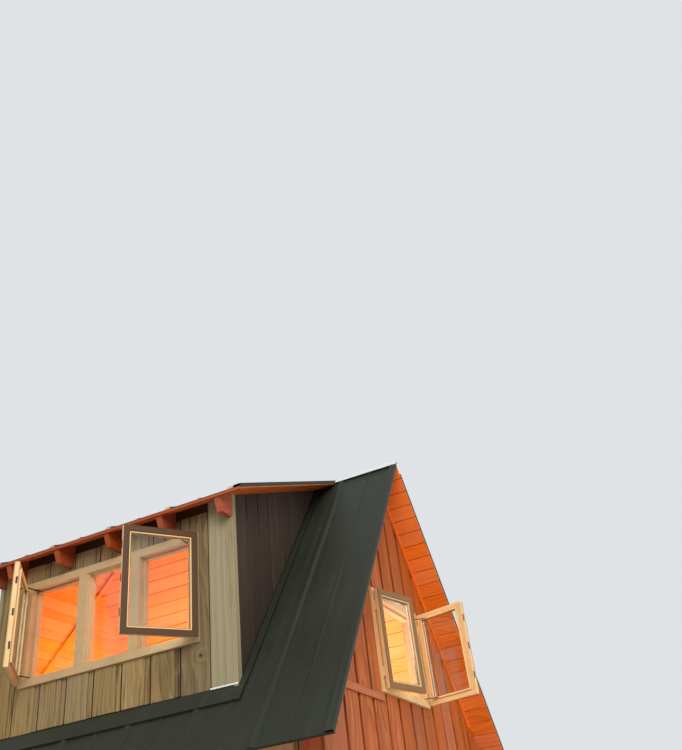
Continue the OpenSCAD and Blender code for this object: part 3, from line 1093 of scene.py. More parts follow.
def slope_frame(side: int, pitch: float, ridge_z: float) -> Matrix:
    """Give the frame of a roof slope: X down the slope, Y along the ridge and Z out of the roof.

    Args:
        side: 1 for the right slope and -1 for the left one, whose Y runs to the front.
        pitch: slope in radians.
        ridge_z: height of the ridge line.

    Returns:
        The matrix from the slope's own frame to the cabin's.
    """
    down = down_slope(side, pitch)
    along = Vector((0, side, 0))
    matrix = Matrix((down, along, down.cross(along))).transposed().to_4x4()
    return Matrix.Translation((0, 0, ridge_z)) @ matrix


@dataclass
class Roof(Assembly):
    """What both roofs share: ribbed sheets on boards, and folded trims round their edges."""

    board_w: float = 0.1035
    board_gap: float = 0.004
    board_t: float = 0.014
    first_board: float = 0.0275
    first_joint: float = 0.131
    pan_start: float = 0.004
    pan_z: float = -0.014
    sheet_t: float = 0.002
    rib_pitch: float = 0.2286
    rib_shift: float = 0.0
    major: tuple[float, float, float] = (0.050, 0.020, 0.013)
    minor: tuple[float, float, float] = (0.022, 0.010, 0.006)
    trim_w: float = 0.048
    fold_t: float = 0.0015
    rake_drop: float = 0.025

    def boards(self, spans: Spans, end: float) -> Object:
        """Make the roof boards of one slope in its own frame.

        Args:
            spans: the stretches along the ridge that boards cover at a distance down the slope.
            end: where the boards end, down the slope.

        Returns:
            The joined boards.
        """
        made = []
        half = self.board_gap / 2
        joints = seams(self.first_board, end, self.first_joint, self.board_w)
        for upper, lower in zip(joints, joints[1:]):
            for near, far in spans((upper + lower) / 2):
                corner = (lower - half, far, self.board_t - ROOF_T)
                made.append(self.board((upper + half, near, -ROOF_T), corner))
        return ease(join(made), 0.002)

    def deck(self, name: str, slope: Matrix, lay: Lay, spans: Spans, room: tuple[float, float], end: float,
             *cuts: Cut) -> None:
        """Lay the roof boards of one slope: pale lining over the room, and cedar outside its walls.

        Args:
            name: first part of the pieces' names.
            slope: the slope's own frame.
            lay: how the boards lie.
            spans: the stretches along the ridge that boards cover at a distance down the slope.
            room: half of the room's length, and how far down the slope it reaches.
            end: where the boards end, down the slope.
            cuts: flat cuts in the cabin's frame.
        """
        half, reach = room

        def outside(s: float) -> list[tuple[float, float]]:
            """Give what the boards outside the walls cover."""
            ends = [pair for a, b in spans(s) for pair in ((a, min(b, -half)), (max(a, half), b))]
            return [pair for pair in ends if pair[0] < pair[1]] if s < reach else spans(s)

        def inside(s: float) -> list[tuple[float, float]]:
            """Give what the lining covers."""
            return [(max(a, -half), min(b, half)) for a, b in spans(s)] if s < reach else []

        for part, kind, finish in ((outside, "roof", ROOF_BOARD), (inside, "ceiling", PINE)):
            made = trim_off(place(self.boards(part, end), slope), *cuts)
            self.keep(made, f"{name}_{kind}_boards", finish, lay)

    def rib(self, sizes: tuple[float, float, float], start: float, end: float) -> Object:
        """Make one hollow-looking rib at Y 0: a bar whose top is drawn in.

        Args:
            sizes: its width at the foot, its width at the top and its height.
            start: where it starts, down the slope.
            end: where it ends.

        Returns:
            The rib.
        """
        foot, top, high = sizes
        bar = block((start, -foot / 2, self.pan_z - self.sheet_t / 2), (end, foot / 2, self.pan_z + high))
        with editing(bar, "FACE"):
            choose(bar, "faces", lambda face: face.normal.z > 0.5)
            bpy.ops.transform.resize(value=(1.0, top / foot, 1.0))
        return ease(bar, 0.0012)

    def ribbed(self, spans: Callable[[float], tuple[float, float]],
               pans: Sequence[tuple[float, float, float, float]], half: float, *cuts: Cut) -> Object:
        """Make the ribbed sheets of one slope in its own frame.

        Args:
            spans: where the rib at a place along the ridge starts and ends.
            pans: flat sheets, as start, end, near and far.
            half: half of the roof's length, less its trims.
            cuts: flat cuts across every sheet and rib.

        Returns:
            The joined sheets and ribs.
        """
        low, high = self.pan_z - self.sheet_t, self.pan_z
        parts = [block((start, near, low), (end, far, high)) for start, end, near, far in pans]
        first, last = (-half - self.rib_shift) / self.rib_pitch, (half - self.rib_shift) / self.rib_pitch
        for k in range(math.ceil(first), math.floor(last) + 1):
            y = self.rib_shift + k * self.rib_pitch
            bar = self.rib(self.major if k % 2 else self.minor, *spans(y))
            parts.append(place(bar, Matrix.Translation((0, y, 0))))
        return join([trim_off(part, *cuts) for part in parts])

    def rake_trim(self, start: float, length: float, half: float) -> Object:
        """Make the folded trims along both rakes of one slope in its own frame.

        Args:
            start: distance from the ridge at which they start.
            length: length of the slope.
            half: half of the roof's length.

        Returns:
            The two trims.
        """
        fold, inner = self.fold_t, half - self.trim_w
        plate = block((start, inner, -fold), (length, half, 0.0))
        with editing(plate, "FACE"):
            for y in (half - fold, inner + fold):
                bpy.ops.mesh.select_all(action="SELECT")
                bpy.ops.mesh.bisect(plane_co=(0, y, 0), plane_no=(0, 1, 0))
            for test, drop in ((lambda y: y > half - fold, self.rake_drop),
                               (lambda y: y < inner + fold, -self.pan_z - fold)):
                choose(plate, "faces", lambda face: face.normal.z < -0.5 and test(face.calc_center_median().y)
                       and abs(face.calc_center_median().z + fold) < 1e-5)
                push(0, 0, fold - drop)
        ease(plate, 0.0006)
        return join([plate, copy_to(plate, MIRROR_Y)])


@dataclass
class MainRoof(Roof):
    """The two steep slopes, with the opening below the dormer, the ridge cap and the ridge beam."""

    opening_top: float = 0.06
    strip_t: float = 0.012
    cap_leg: float = 0.100
    cap_lip: float = 0.034
    cap_t: float = 0.0025
    end_t: float = 0.0015
    end_drop: float = 0.022
    eave_in: float = 0.006
    drip_t: float = 0.002
    drip_h: float = 0.016

    def build(self) -> None:
        """Make both slopes, their trims, the cap and the beam."""
        cabin = self.cabin
        length, hole = cabin.eave_x / math.cos(MAIN_PITCH), cabin.inner_w / math.cos(MAIN_PITCH)
        half, pan_half = cabin.rake_y - self.fold_t, cabin.rake_y - self.trim_w
        inner, top = cabin.dormer_inner, self.pan_start
        whole, parted = [(-half, half)], [(-half, -inner), (inner, half)]
        right, left = (slope_frame(side, MAIN_PITCH, cabin.ridge_z) for side in (1, -1))
        room, end = (cabin.half_len - cabin.wall_t / 2, hole), length - self.eave_in
        self.deck("right", right, Lay.RIGHT_SLOPE, lambda s: whole, room, end)
        self.deck("left", left, Lay.LEFT_SLOPE, lambda s: parted if s < hole else whole, room, end)
        strips = [self.board((self.opening_top, min(y, y + w), -ROOF_T), (hole, max(y, y + w), 0.0))
                  for y, w in ((-inner, self.strip_t), (inner, -self.strip_t))]
        self.keep(place(ease(join(strips), 0.001), left), "dormer_opening_strips", PINE, Lay.LEFT_SLOPE)
        sheets = self.ribbed(lambda y: (self.cap_leg * 0.8, length), [(top, length, -half, half)], pan_half)
        self.keep(place(sheets, right), "right_roof_sheets", ROOF_STEEL, Lay.RIGHT_SLOPE, "roof_right")
        pans = [*((top, length, *span) for span in parted), (hole, length, -inner, inner)]
        sheets = self.ribbed(lambda y: (hole if abs(y) < inner else 0.03, length), pans, pan_half)
        self.keep(place(sheets, left), "left_roof_sheets", ROOF_STEEL, Lay.LEFT_SLOPE, "roof_left_front",
                  "roof_left_back", "roof_left_eave")
        low = self.pan_z - self.sheet_t - self.drip_h
        for matrix, way, lay, leg in ((right, "right", Lay.RIGHT_SLOPE, self.cap_leg),
                                      (left, "left", Lay.LEFT_SLOPE, self.cap_lip)):
            trim = self.rake_trim(leg, length, cabin.rake_y)
            self.keep(place(trim, matrix), f"{way}_rake_trims", ROOF_STEEL, lay)
            drip = ease(block((end, -half, low), (end + self.drip_t, half, self.pan_z)), 0.0006)
            self.keep(place(drip, matrix), f"{way}_eave_drip", ROOF_STEEL, lay)
        self.ridge_cap(right, left)
        beam = self.board((-cabin.beam_half, -cabin.inner_len, cabin.beam_low),
                          (cabin.beam_half, cabin.inner_len, cabin.ridge_z))
        trim_off(beam, cabin.under(-1), cabin.under(1))
        self.keep(ease(beam, 0.003, 2), "ridge_timber", PINE, Lay.LEVEL_SIDE, "ridge_beam")

    def wing(self, leg: float, near: float, far: float) -> Object:
        """Make one leg of the ridge cap in its slope's frame, with a hem rolled along its edge.

        Args:
            leg: its length down the slope.
            near: its start along the ridge.
            far: its end.

        Returns:
            The leg.
        """
        plate = block((-0.002, near, 0.0005), (leg, far, self.cap_t))
        with editing(plate, "FACE"):
            choose(plate, "faces", lambda face: face.normal.x > 0.5)
            push(0.003, 0, 0)
            choose(plate, "faces",
                   lambda face: abs(face.normal.z) > 0.5 and face.calc_center_median().x > leg)
            bpy.ops.transform.resize(value=(1.0, 1.0, 2.2))
        return ease(plate, 0.0006)

    def ridge_cap(self, right: Matrix, left: Matrix) -> None:
        """Make the folded cap over the ridge, and the strips that close the ribs below it.

        Args:
            right: frame of the right slope.
            left: frame of the left slope.
        """
        cabin = self.cabin
        rake, shed = cabin.rake_y, cabin.dormer_rake_y
        dormer = slope_frame(-1, DORMER_PITCH, cabin.ridge_z)
        slopes = ((right, self.cap_leg), (left, self.cap_lip))
        wings = ((right, self.cap_leg, -rake, rake), (left, self.cap_lip, -rake, -shed),
                 (left, self.cap_lip, shed, rake), (dormer, self.cap_lip, -shed, shed))
        legs = [place(self.wing(leg, near, far), matrix) for matrix, leg, near, far in wings]
        for matrix, leg in slopes:
            for end in (-rake, rake - self.end_t):
                flap = block((0.0, end, -self.end_drop), (leg, end + self.end_t, 0.001))
                legs.append(place(ease(flap, 0.0005), matrix))
        # The cap is coloured near white as a painted highlight
        self.keep(join(legs), "folded_ridge_cap", RIDGE_STEEL, Lay.FLAT_ALONG_Y, "ridge_cap")
        strips = []
        for matrix, leg in (*slopes, (dormer, self.cap_lip)):
            half = (shed if matrix is dormer else rake) - self.trim_w
            strip = ease(block((leg - 0.02, -half, self.pan_z), (leg - 0.006, half, 0.0)), 0.001)
            strips.append(place(strip, matrix))
        self.keep(join(strips), "ridge_closure_strips", GASKET, Lay.FLAT_ALONG_Y)


@dataclass
class DormerRoof(Roof):
    """The low slope over the dormer, its rafters and its fascia."""

    rib_shift: float = -0.127
    rafter_pitch: float = 0.4064
    rafter_w: float = 0.038
    rafter_d: float = 0.140
    fascia_t: float = 0.018
    fascia_in: float = 0.002

    def build(self) -> None:
        """Make the boards, sheets, trims, fascia and rafters."""
        cabin = self.cabin
        slope = slope_frame(-1, DORMER_PITCH, cabin.ridge_z)
        slant, eave = math.cos(DORMER_PITCH), cabin.dormer_x
        length = eave / slant + 0.02
        half, pan_half = cabin.dormer_rake_y - self.fold_t, cabin.dormer_rake_y - self.trim_w
        room = (cabin.dormer_half - cabin.wall_t / 4, cabin.inner_w / slant)
        self.deck("dormer", slope, Lay.DORMER_SLOPE, lambda s: [(-half, half)], room, length,
                  Cut((-eave + self.fascia_t + self.fascia_in, 0, 0), (-1, 0, 0)))
        # The eave's plane in the slope's own frame, a hair inside it for the sheets
        reach = (eave - 0.001) / slant
        plumb = Vector((slant, 0, math.sin(DORMER_PITCH)))
        sheets = self.ribbed(lambda y: (0.03, length), [(self.pan_start, length, -half, half)], pan_half,
                             Cut((reach, 0, 0), plumb))
        self.keep(place(sheets, slope), "dormer_roof_sheets", ROOF_STEEL, Lay.DORMER_SLOPE, "dormer_roof")
        # Pale plugs in the rib ends at the eave stand for painted highlights
        plugs = self.ribbed(lambda y: (reach - 0.03, length), [], pan_half,
                            Cut((reach - 0.009, 0, 0), -plumb), Cut((eave / slant, 0, 0), plumb))
        self.keep(place(plugs, slope), "dormer_rib_ends", RIB_END_HIGHLIGHT, Lay.DORMER_SLOPE)
        trim = place(self.rake_trim(0.0, length, cabin.dormer_rake_y), slope)
        trim_off(trim, Cut((-eave, 0, 0), (-1, 0, 0)))
        self.keep(trim, "dormer_rake_trims", ROOF_STEEL, Lay.DORMER_SLOPE)
        self.fascia(half)
        self.rafters(slope)

    def fascia(self, half: float) -> None:
        """Make the edge board below the sheets at the dormer's eave.

        Args:
            half: half of its length.
        """
        cabin = self.cabin
        x = cabin.dormer_x - self.fascia_in
        out = out_of_slope(-1, DORMER_PITCH)
        face = self.board((-x, -half, cabin.dormer_under(x) - 0.004),
                          (-x + self.fascia_t, half, cabin.ridge_z))
        trim_off(face, Cut(Vector((0, 0, cabin.ridge_z)) + out * (self.pan_z - self.sheet_t), out))
        self.keep(ease(face, 0.002), "dormer_fascia", RAFTER, Lay.LEVEL_SIDE)

    def rafters(self, slope: Matrix) -> None:
        """Make the rafters, their tails cut level below. In line with the cheeks there are tails alone.

        Args:
            slope: frame of the dormer's slope.
        """
        cabin = self.cabin
        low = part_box("dormer_rafters")[0]
        length = cabin.dormer_x / math.cos(DORMER_PITCH)
        start, half = (cabin.dormer_half + cabin.dormer_inner) / 2, self.rafter_w / 2
        end = cabin.dormer_half - half
        count = math.floor(2 * start / self.rafter_pitch)
        rows = [k * self.rafter_pitch - start for k in range(1, count + 1)]
        made = []
        for y in (-end, *rows, end):
            # The slope's own Y runs to the front
            rafter = self.board((0.0, -y - half, -ROOF_T - self.rafter_d), (length, -y + half, -ROOF_T))
            head = -cabin.half_w if abs(y) == end else -cabin.beam_half
            made.append(trim_off(place(rafter, slope), Cut((low.x, 0, 0), (-1, 0, 0)),
                                 Cut((head, 0, 0), (1, 0, 0)), Cut((0, 0, low.z), (0, 0, -1))))
        self.keep(ease(join(made), 0.003, 2), "dormer_rafter_timbers", RAFTER, Lay.RAFTER, "dormer_rafters")


@dataclass
class DormerWalls(Wall):
    """The dormer's front wall of weathered boards and its two cheeks, coloured dark as painted shade."""

    cover: float = 0.2099
    first_seam: float = 0.7478
    gap: float = 0.014
    lip: float = 0.034
    ragged: float = 0.008
    head_gap: float = 0.055
    corner_t: float = 0.027
    corner_proud: float = 0.010
    corner_w: float = 0.036
    cheek_cover: float = 0.145
    cheek_depth: float = 0.008
    cheek_gap: float = 0.006
    cheek_felt: float = 0.018
    tucked: float = 0.02
    flashing_t: float = 0.002
    flashing_w: float = 0.045

    def build(self) -> None:
        """Make the front wall, the cheeks and the flashings."""
        self.front()
        for side, way in ((-1, "front"), (1, "back")):
            self.cheek(side, way)
        self.flashings()

    def roof_cuts(self, matrix: Matrix) -> list[Cut]:
        """Give the cuts along the dormer roof above and the main roof below, in a wall's own frame.

        Args:
            matrix: the wall's own frame.

        Returns:
            The cut above and the cut below.
        """
        back = matrix.inverted()
        turn = back.to_3x3()
        above, below = self.cabin.dormer_under(0), self.cabin.roof_top(0)
        return [Cut(back @ Vector((0, 0, above)), turn @ out_of_slope(-1, DORMER_PITCH)),
                Cut(back @ Vector((0, 0, below)), turn @ -out_of_slope(-1, MAIN_PITCH))]

    def front(self) -> None:
        """Make the front wall round its window."""
        cabin = self.cabin
        matrix = wall_frame(-cabin.half_w, 0, -90)
        hole = Hole.of("dormer_window_frame", 1)
        roof, top = cabin.roof_top(cabin.half_w), cabin.dormer_under(cabin.inner_w)
        foot, edge, half = roof + 0.004, cabin.dormer_half - self.corner_t, cabin.dormer_half - self.tucked
        # The boards stop short of the roof, and the dark wall behind them shows between the rafters
        row = Row(seams(-edge, self.first_seam, self.first_seam, self.cover),
                  (foot, cabin.dormer_under(cabin.half_w) - self.head_gap), (0.0, self.board_t),
                  gap=self.gap, ragged=self.ragged, lip=self.lip)
        shell = Shell(matrix, (-half, half), (roof - self.tucked, top), (self.felt_depth, cabin.wall_t),
                      self.roof_cuts(matrix), [hole])
        self.layers("dormer_wall", shell, row, (WEATHERED, Lay.UPRIGHT_SIDE, Lay.LEVEL_SIDE),
                    "dormer_wall_low", "dormer_wall_head", "dormer_wall_front", "dormer_wall_back")
        self.reveal("dormer_window", matrix, hole, Lay.LEVEL_SIDE)
        # The corner board is coloured paler than the wall as painted light
        pale = self.board((self.first_seam + self.gap / 2, -self.corner_proud, foot + 0.006),
                          (edge - 0.001, self.board_t - self.corner_proud, top))
        trim_off(pale, *shell.cuts)
        self.keep(place(ease(pale, 0.002, 2), matrix), "dormer_corner_board", PALE_BOARD, Lay.UPRIGHT_SIDE)

    def cheek(self, side: int, way: str) -> None:
        """Make one cheek with its corner board.

        Args:
            side: -1 for the cheek nearer the front, 1 for the other.
            way: its name.
        """
        cabin = self.cabin
        matrix = wall_frame(0, side * cabin.dormer_half, 0 if side < 0 else 180)
        outer, inner = side * (cabin.half_w + self.corner_proud), side * (cabin.half_w - self.corner_w)
        rise = (cabin.roof_top(cabin.half_w) - self.tucked, cabin.dormer_under(0))
        row = Row(seams(*sorted((inner, 0.0)), inner, self.cheek_cover), rise,
                  (self.cheek_depth, self.cheek_depth + self.board_t), gap=self.cheek_gap)
        shell = Shell(matrix, sorted((side * (cabin.half_w - self.tucked), 0.0)), rise,
                      (self.cheek_felt, cabin.dormer_half - cabin.dormer_inner), self.roof_cuts(matrix))
        # The cheek boards are coloured dark as painted shade
        self.layers(f"{way}_cheek", shell, row, (CHEEK, Lay.UPRIGHT_FRONT, Lay.LEVEL_FRONT),
                    f"dormer_cheek_{way}")
        # The cheek's corner board is coloured paler as painted light
        corner = self.board((min(outer, inner), 0.0, rise[0]), (max(outer, inner), self.corner_t, rise[1]))
        trim_off(ease(corner, 0.002, 2), *shell.cuts)
        self.keep(place(corner, matrix), f"{way}_cheek_corner_board", PALE_BOARD, Lay.UPRIGHT_FRONT)

    def flashings(self) -> None:
        """Make the apron below the front wall and the strips along the foot of the cheeks."""
        cabin = self.cabin
        slope = slope_frame(-1, MAIN_PITCH, cabin.ridge_z)
        low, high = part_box("dormer_apron")
        start = cabin.half_w / math.cos(MAIN_PITCH) - 0.004
        end = (cabin.ridge_z - low.z) / math.sin(MAIN_PITCH) - 0.004
        thin, side = self.flashing_t, cabin.dormer_half
        apron = block((start, -high.y, 0.0005), (end, high.y, 0.0005 + thin))
        with editing(apron, "FACE"):
            bpy.ops.mesh.bisect(plane_co=(end - thin, 0, 0), plane_no=(1, 0, 0))
            choose(apron, "faces",
                   lambda face: face.normal.z < -0.5 and face.calc_center_median().x > end - thin)
            push(0, 0, -0.013)
        self.keep(place(ease(apron, 0.0006), slope), "apron_flashing", ROOF_STEEL, Lay.LEFT_SLOPE,
                  "dormer_apron")
        places = ((-side - self.flashing_w, 0.001 - side), (side - 0.001, side + self.flashing_w))
        strips = [ease(block((0.06, near, 0.0), (start, far, thin)), 0.0006) for near, far in places]
        self.keep(place(join(strips), slope), "cheek_foot_flashings", ROOF_STEEL, Lay.LEFT_SLOPE)
        x, foot = cabin.half_w + self.corner_proud + 0.003, cabin.roof_top(cabin.half_w)
        drip = block((-x, -side, foot), (-x + 0.012, -self.first_seam, foot + 0.009))
        # The drip strip takes the same near white, a painted highlight along the wall's foot
        self.keep(ease(drip, 0.001), "corner_drip_strip", RIDGE_STEEL, Lay.LEVEL_SIDE)


@dataclass(frozen=True)
class Profile:
    """The section of a frame or sash member."""

    width: float
    front: float
    back: float
    bead: float = 0.0

    def bar(self, length: float) -> Object:
        """Make one member along X, mitred at both ends, its outer edge at Z 0 and its inner edge above.

        Args:
            length: length along the outer edge.

        Returns:
            The member.
        """
        bar = block((0.0, self.front, 0.0), (length, self.back, self.width))
        if self.bead:
            with editing(bar, "EDGE"):
                choose(bar, "edges", lambda edge: all(end.co.z > self.width * 0.9 for end in edge.verts)
                       and all(end.co.y < self.front + 1e-4 for end in edge.verts))
                bpy.ops.mesh.bevel(offset=self.bead, segments=1, affect="EDGES")
        trim_off(bar, Cut((0, 0, 0), (-1, 0, 1)), Cut((length, 0, 0), (1, 0, 1)))
        return ease(bar, 0.0011, 2)

    def ring(self, width: float, height: float) -> Object:
        """Make a rectangular frame of four mitred members, its lower left corner at the origin.

        Args:
            width: width over the frame.
            height: height over it.

        Returns:
            The frame.
        """
        level, upright = self.bar(width), self.bar(height)
        places = [((width, 0, height), 180), ((width, 0, 0), -90), ((0, 0, height), 90)]
        over, right, left = (Matrix.Translation(at) @ Matrix.Rotation(math.radians(turn), 4, "Y")
                             for at, turn in places)
        return join([level, copy_to(level, over), copy_to(upright, right), place(upright, left)])


@dataclass(frozen=True)
class Sash:
    """An open sash of one light, by the angle it is turned about its hinge and the side it is hung on."""

    name: str
    nodes: tuple[str, str]
    angle: float
    hung_right: bool
    outer: Finish


@dataclass
class Windows(Assembly):
    """All windows: frames with stepped rebates, open sashes on stays, gaskets and panes."""

    frame_w: float = 0.050
    mullion_w: float = 0.065
    fixed_light: float = 0.350
    proud: float = 0.018
    depth: float = 0.090
    sash_w: float = 0.044
    sash_t: float = 0.042
    skin: float = 0.005
    lip_t: float = 0.012
    lap: float = 0.034
    pane_t: float = 0.020
    pane_in: float = 0.004
    gasket_w: float = 0.006
    leaf_h: float = 0.060
    keepers: tuple[float, ...] = (0.16, 0.47, 0.78)

    def build(self) -> None:
        """Make the dormer, gable, back and side windows."""
        self.dormer_window()
        self.gable_window()
        self.closed_windows()

    def opening(self, node: str, out: float, turn: float) -> tuple[Matrix, float, float]:
        """Read one window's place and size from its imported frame.

        Args:
            node: name of the frame's node.
            out: place of the wall's outer face.
            turn: turn of the wall about Z in degrees.

        Returns:
            The window's own frame, its middle at the sill, and its width and height.
        """
        low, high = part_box(node)
        axis = 1 if turn % 180 else 0
        middle = (low[axis] + high[axis]) / 2
        at = (out, middle) if axis else (middle, out)
        return wall_frame(*at, turn, low.z), high[axis] - low[axis], high.z - low.z

    def frame(self, width: float, height: float, lights: Sequence[float],
              glazed: Sequence[int]) -> list[Object]:
        """Make a frame, its mullions and the beads of its lights, centred on X with its sill at Z 0.

        Args:
            width: width over the frame.
            height: height over the frame.
            lights: widths of the lights from the left.
            glazed: numbers of the lights that are glazed in the frame.

        Returns:
            The frame, and the pane and gasket of each glazed light.
        """
        near, far = -self.proud, self.depth - self.proud
        to_left = Matrix.Translation((-width / 2, 0, 0))
        parts = [place(Profile(self.frame_w, near, far).ring(width, height), to_left)]
        clear_h = height - 2 * self.frame_w
        x = -width / 2 + self.frame_w
        step = near + 0.026
        panes = []
        for i, light in enumerate(lights):
            if i:
                post = block((x - self.mullion_w, near, self.frame_w), (x, far, height - self.frame_w))
                parts.append(ease(post, 0.0015, 2))
            corner = Matrix.Translation((x, 0, self.frame_w))
            rings = [Profile(0.008, step, far - 0.004, 0.003), Profile(0.006, near + 0.008, step, 0.004)]
            if i not in glazed:
                rings = [Profile(0.012, 0.028, far - 0.004)]
            parts.extend(place(ring.ring(light, clear_h), corner) for ring in rings)
            if i in glazed:
                panes.extend(self.pane(light, clear_h, (near + far) / 2 - 0.006, corner))
            x += light + self.mullion_w
        return [join(parts), *panes]

    def pane(self, width: float, height: float, middle: float, corner: Matrix) -> list[Object]:
        """Make the glass of one light and the gasket round it.

        Args:
            width: width of the light.
            height: height of the light.
            middle: place of the glass, from front to back.
            corner: place of the light's lower left corner.

        Returns:
            The glass and the gasket.
        """
        edge, half = self.gasket_w, self.pane_t / 2
        inset = self.pane_in
        glass = block((edge, middle - half + inset, edge),
                      (width - edge, middle + half - inset, height - edge))
        gasket = Profile(edge, middle - half, middle + half, 0.003).ring(width, height)
        return [place(ease(glass, 0.0008), corner), place(gasket, corner)]

    def hung(self, wall: Matrix, width: float, height: float, light: float, sash: Sash) -> None:
        """Make an open sash with its glass, stays and keepers.

        Args:
            wall: the window's own frame, its middle at the sill.
            width: width over the window's frame.
            height: height over it.
            light: width of the light that the sash closes.
            sash: the sash.
        """
        lap, bar, thick = self.lap, self.sash_w, self.sash_t
        w, h = light + 2 * lap, height - 2 * self.frame_w + 2 * lap
        mirror = Matrix.Scale(-1, 4, (1, 0, 0)) if sash.hung_right else Matrix.Identity(4)
        hinge = Matrix.Translation((-width / 2 + self.frame_w - lap, -self.proud, self.frame_w - lap))
        still = wall @ mirror @ hinge
        at = still @ Matrix.Rotation(-math.radians(sash.angle), 4, "Z")
        outer = Profile(bar - 0.006, -thick, self.skin - thick, 0.004).ring(w, h)
        inner = Profile(bar, self.skin - thick, -self.lip_t).ring(w, h)
        lip = place(Profile(bar - lap, -self.lip_t, 0.0).ring(w - 2 * lap, h - 2 * lap),
                    Matrix.Translation((lap, 0, lap)))
        leaves = [ease(block((-0.004, -0.010, z), (0.004, 0.0, z + self.leaf_h)), 0.001)
                  for z in (h * 0.12, h * 0.88 - self.leaf_h)]
        body = join([inner, lip, *leaves])
        glass, gasket = self.pane(w - 2 * bar, h - 2 * bar, -thick / 2, Matrix.Translation((bar, 0, bar)))
        keepers = join([ease(block((w - 0.004, -0.026, z), (w + 0.002, -0.014, z + 0.045)), 0.001)
                        for z in (h * share for share in self.keepers)])
        made = ((body, "sash", ALMOND_VINYL, sash.nodes[:1]), (outer, "sash_face", sash.outer, ()),
                (glass, "glass", GLASS, sash.nodes[1:]), (gasket, "gasket", SEAL, ()))
        for part, kind, finish, of in made:
            self.keep(place(part, at), f"{sash.name}_{kind}", finish, Lay.UPRIGHT_FRONT, *of)
        metal = join([place(keepers, at), place(self.stays(sash, w, h), still)])
        self.keep(metal, f"{sash.name}_hardware", IRON, Lay.UPRIGHT_FRONT)

    def stays(self, sash: Sash, w: float, h: float) -> Object:
        """Make the flat stays that hold a sash open at its head and foot, in the hinge's own frame.

        Args:
            sash: the sash.
            w: width over it.
            h: height over it.

        Returns:
            The stays.
        """
        turn = math.radians(sash.angle)
        on_frame = Vector((w * 0.14, 0.024, 0))
        reach = Vector((math.cos(turn), -math.sin(turn), 0)) * (w * 0.20) - on_frame
        way = Matrix.Rotation(math.atan2(reach.y, reach.x), 4, "Z")
        bars = []
        for z in (self.lap + 0.004, h - self.lap - 0.008):
            bar = ease(block((-0.008, -0.007, 0.0), (reach.length + 0.008, 0.007, 0.003)), 0.001)
            bars.append(place(bar, Matrix.Translation(on_frame + Vector((0, 0, z))) @ way))
        return join(bars)

    def glaze(self, parts: Sequence[Object], names: Sequence[str], nodes: Sequence[str],
              lay: Lay) -> None:
        """Keep a frame, its glass and its gaskets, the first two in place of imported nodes.

        Args:
            parts: the frame, the glass and the gaskets.
            names: their names.
            nodes: the nodes of the frame and the glass.
            lay: how they lie.
        """
        replaced = (nodes[:1], nodes[1:], ())
        for part, name, finish, of in zip(parts, names, (TAN_VINYL, GLASS, SEAL), replaced):
            self.keep(part, name, finish, lay, *of)

    def dormer_window(self) -> None:
        """Make the wide window of the dormer: a sash, a fixed light and a sash."""
        wall, width, height = self.opening("dormer_window_frame", -self.cabin.half_w, -90)
        light = (width - 2 * self.frame_w - 2 * self.mullion_w - self.fixed_light) / 2
        parts = self.frame(width, height, [light, self.fixed_light, light], [1])
        self.glaze([place(part, wall) for part in parts],
                   ("dormer_frame", "dormer_fixed_glass", "dormer_fixed_gasket"),
                   ("dormer_window_frame", "dormer_fixed_pane"), Lay.UPRIGHT_SIDE)
        sashes = (("back", 52.0, False, TAN_VINYL), ("front", 56.0, True, TAUPE_VINYL))
        for way, angle, hung_right, outer in sashes:
            nodes = (f"dormer_sash_{way}", f"dormer_pane_{way}")
            sash = Sash(f"dormer_{way}", nodes, angle, hung_right, outer)
            self.hung(wall, width, height, light, sash)

    def gable_window(self) -> None:
        """Make the front gable window: one light with two sashes that meet in its middle."""
        wall, width, height = self.opening("gable_window_frame", -self.cabin.half_len, 0)
        made = self.frame(width, height, [width - 2 * self.frame_w], [])[0]
        self.keep(place(made, wall), "gable_frame", ALMOND_VINYL, Lay.UPRIGHT_FRONT, "gable_window_frame")
        light = width / 2 - self.frame_w - self.lap
        for way, angle, hung_right in (("left", 14.0, False), ("right", 76.0, True)):
            nodes = (f"gable_sash_{way}", f"gable_pane_{way}")
            sash = Sash(f"gable_{way}", nodes, angle, hung_right, BROWN_VINYL)
            self.hung(wall, width, height, light, sash)

    def closed_windows(self) -> None:
        """Make the window of the back gable, of two fixed lights, and those of the side walls, of one."""
        cabin = self.cabin
        wall, width, height = self.opening("back_window_frame", cabin.half_len, 180)
        light = (width - 2 * self.frame_w - self.mullion_w) / 2
        made, *panes = self.frame(width, height, [light, light], [0, 1])
        parts = [place(part, wall) for part in (made, join(panes[0::2]), join(panes[1::2]))]
        self.glaze(parts, ("back_frame", "back_glass", "back_gaskets"),
                   ("back_window_frame", "back_window_pane"), Lay.UPRIGHT_FRONT)
        found = []
        for side in (-1, 1):
            wall, width, height = self.opening("side_window_frames", side * cabin.half_w, side * 90)
            parts = self.frame(width, height, [width - 2 * self.frame_w], [0])
            found.append([place(part, wall) for part in parts])
        self.glaze([join(pair) for pair in zip(*found)], ("side_frames", "side_glass", "side_gaskets"),
                   ("side_window_frames", "side_window_panes"), Lay.UPRIGHT_SIDE)


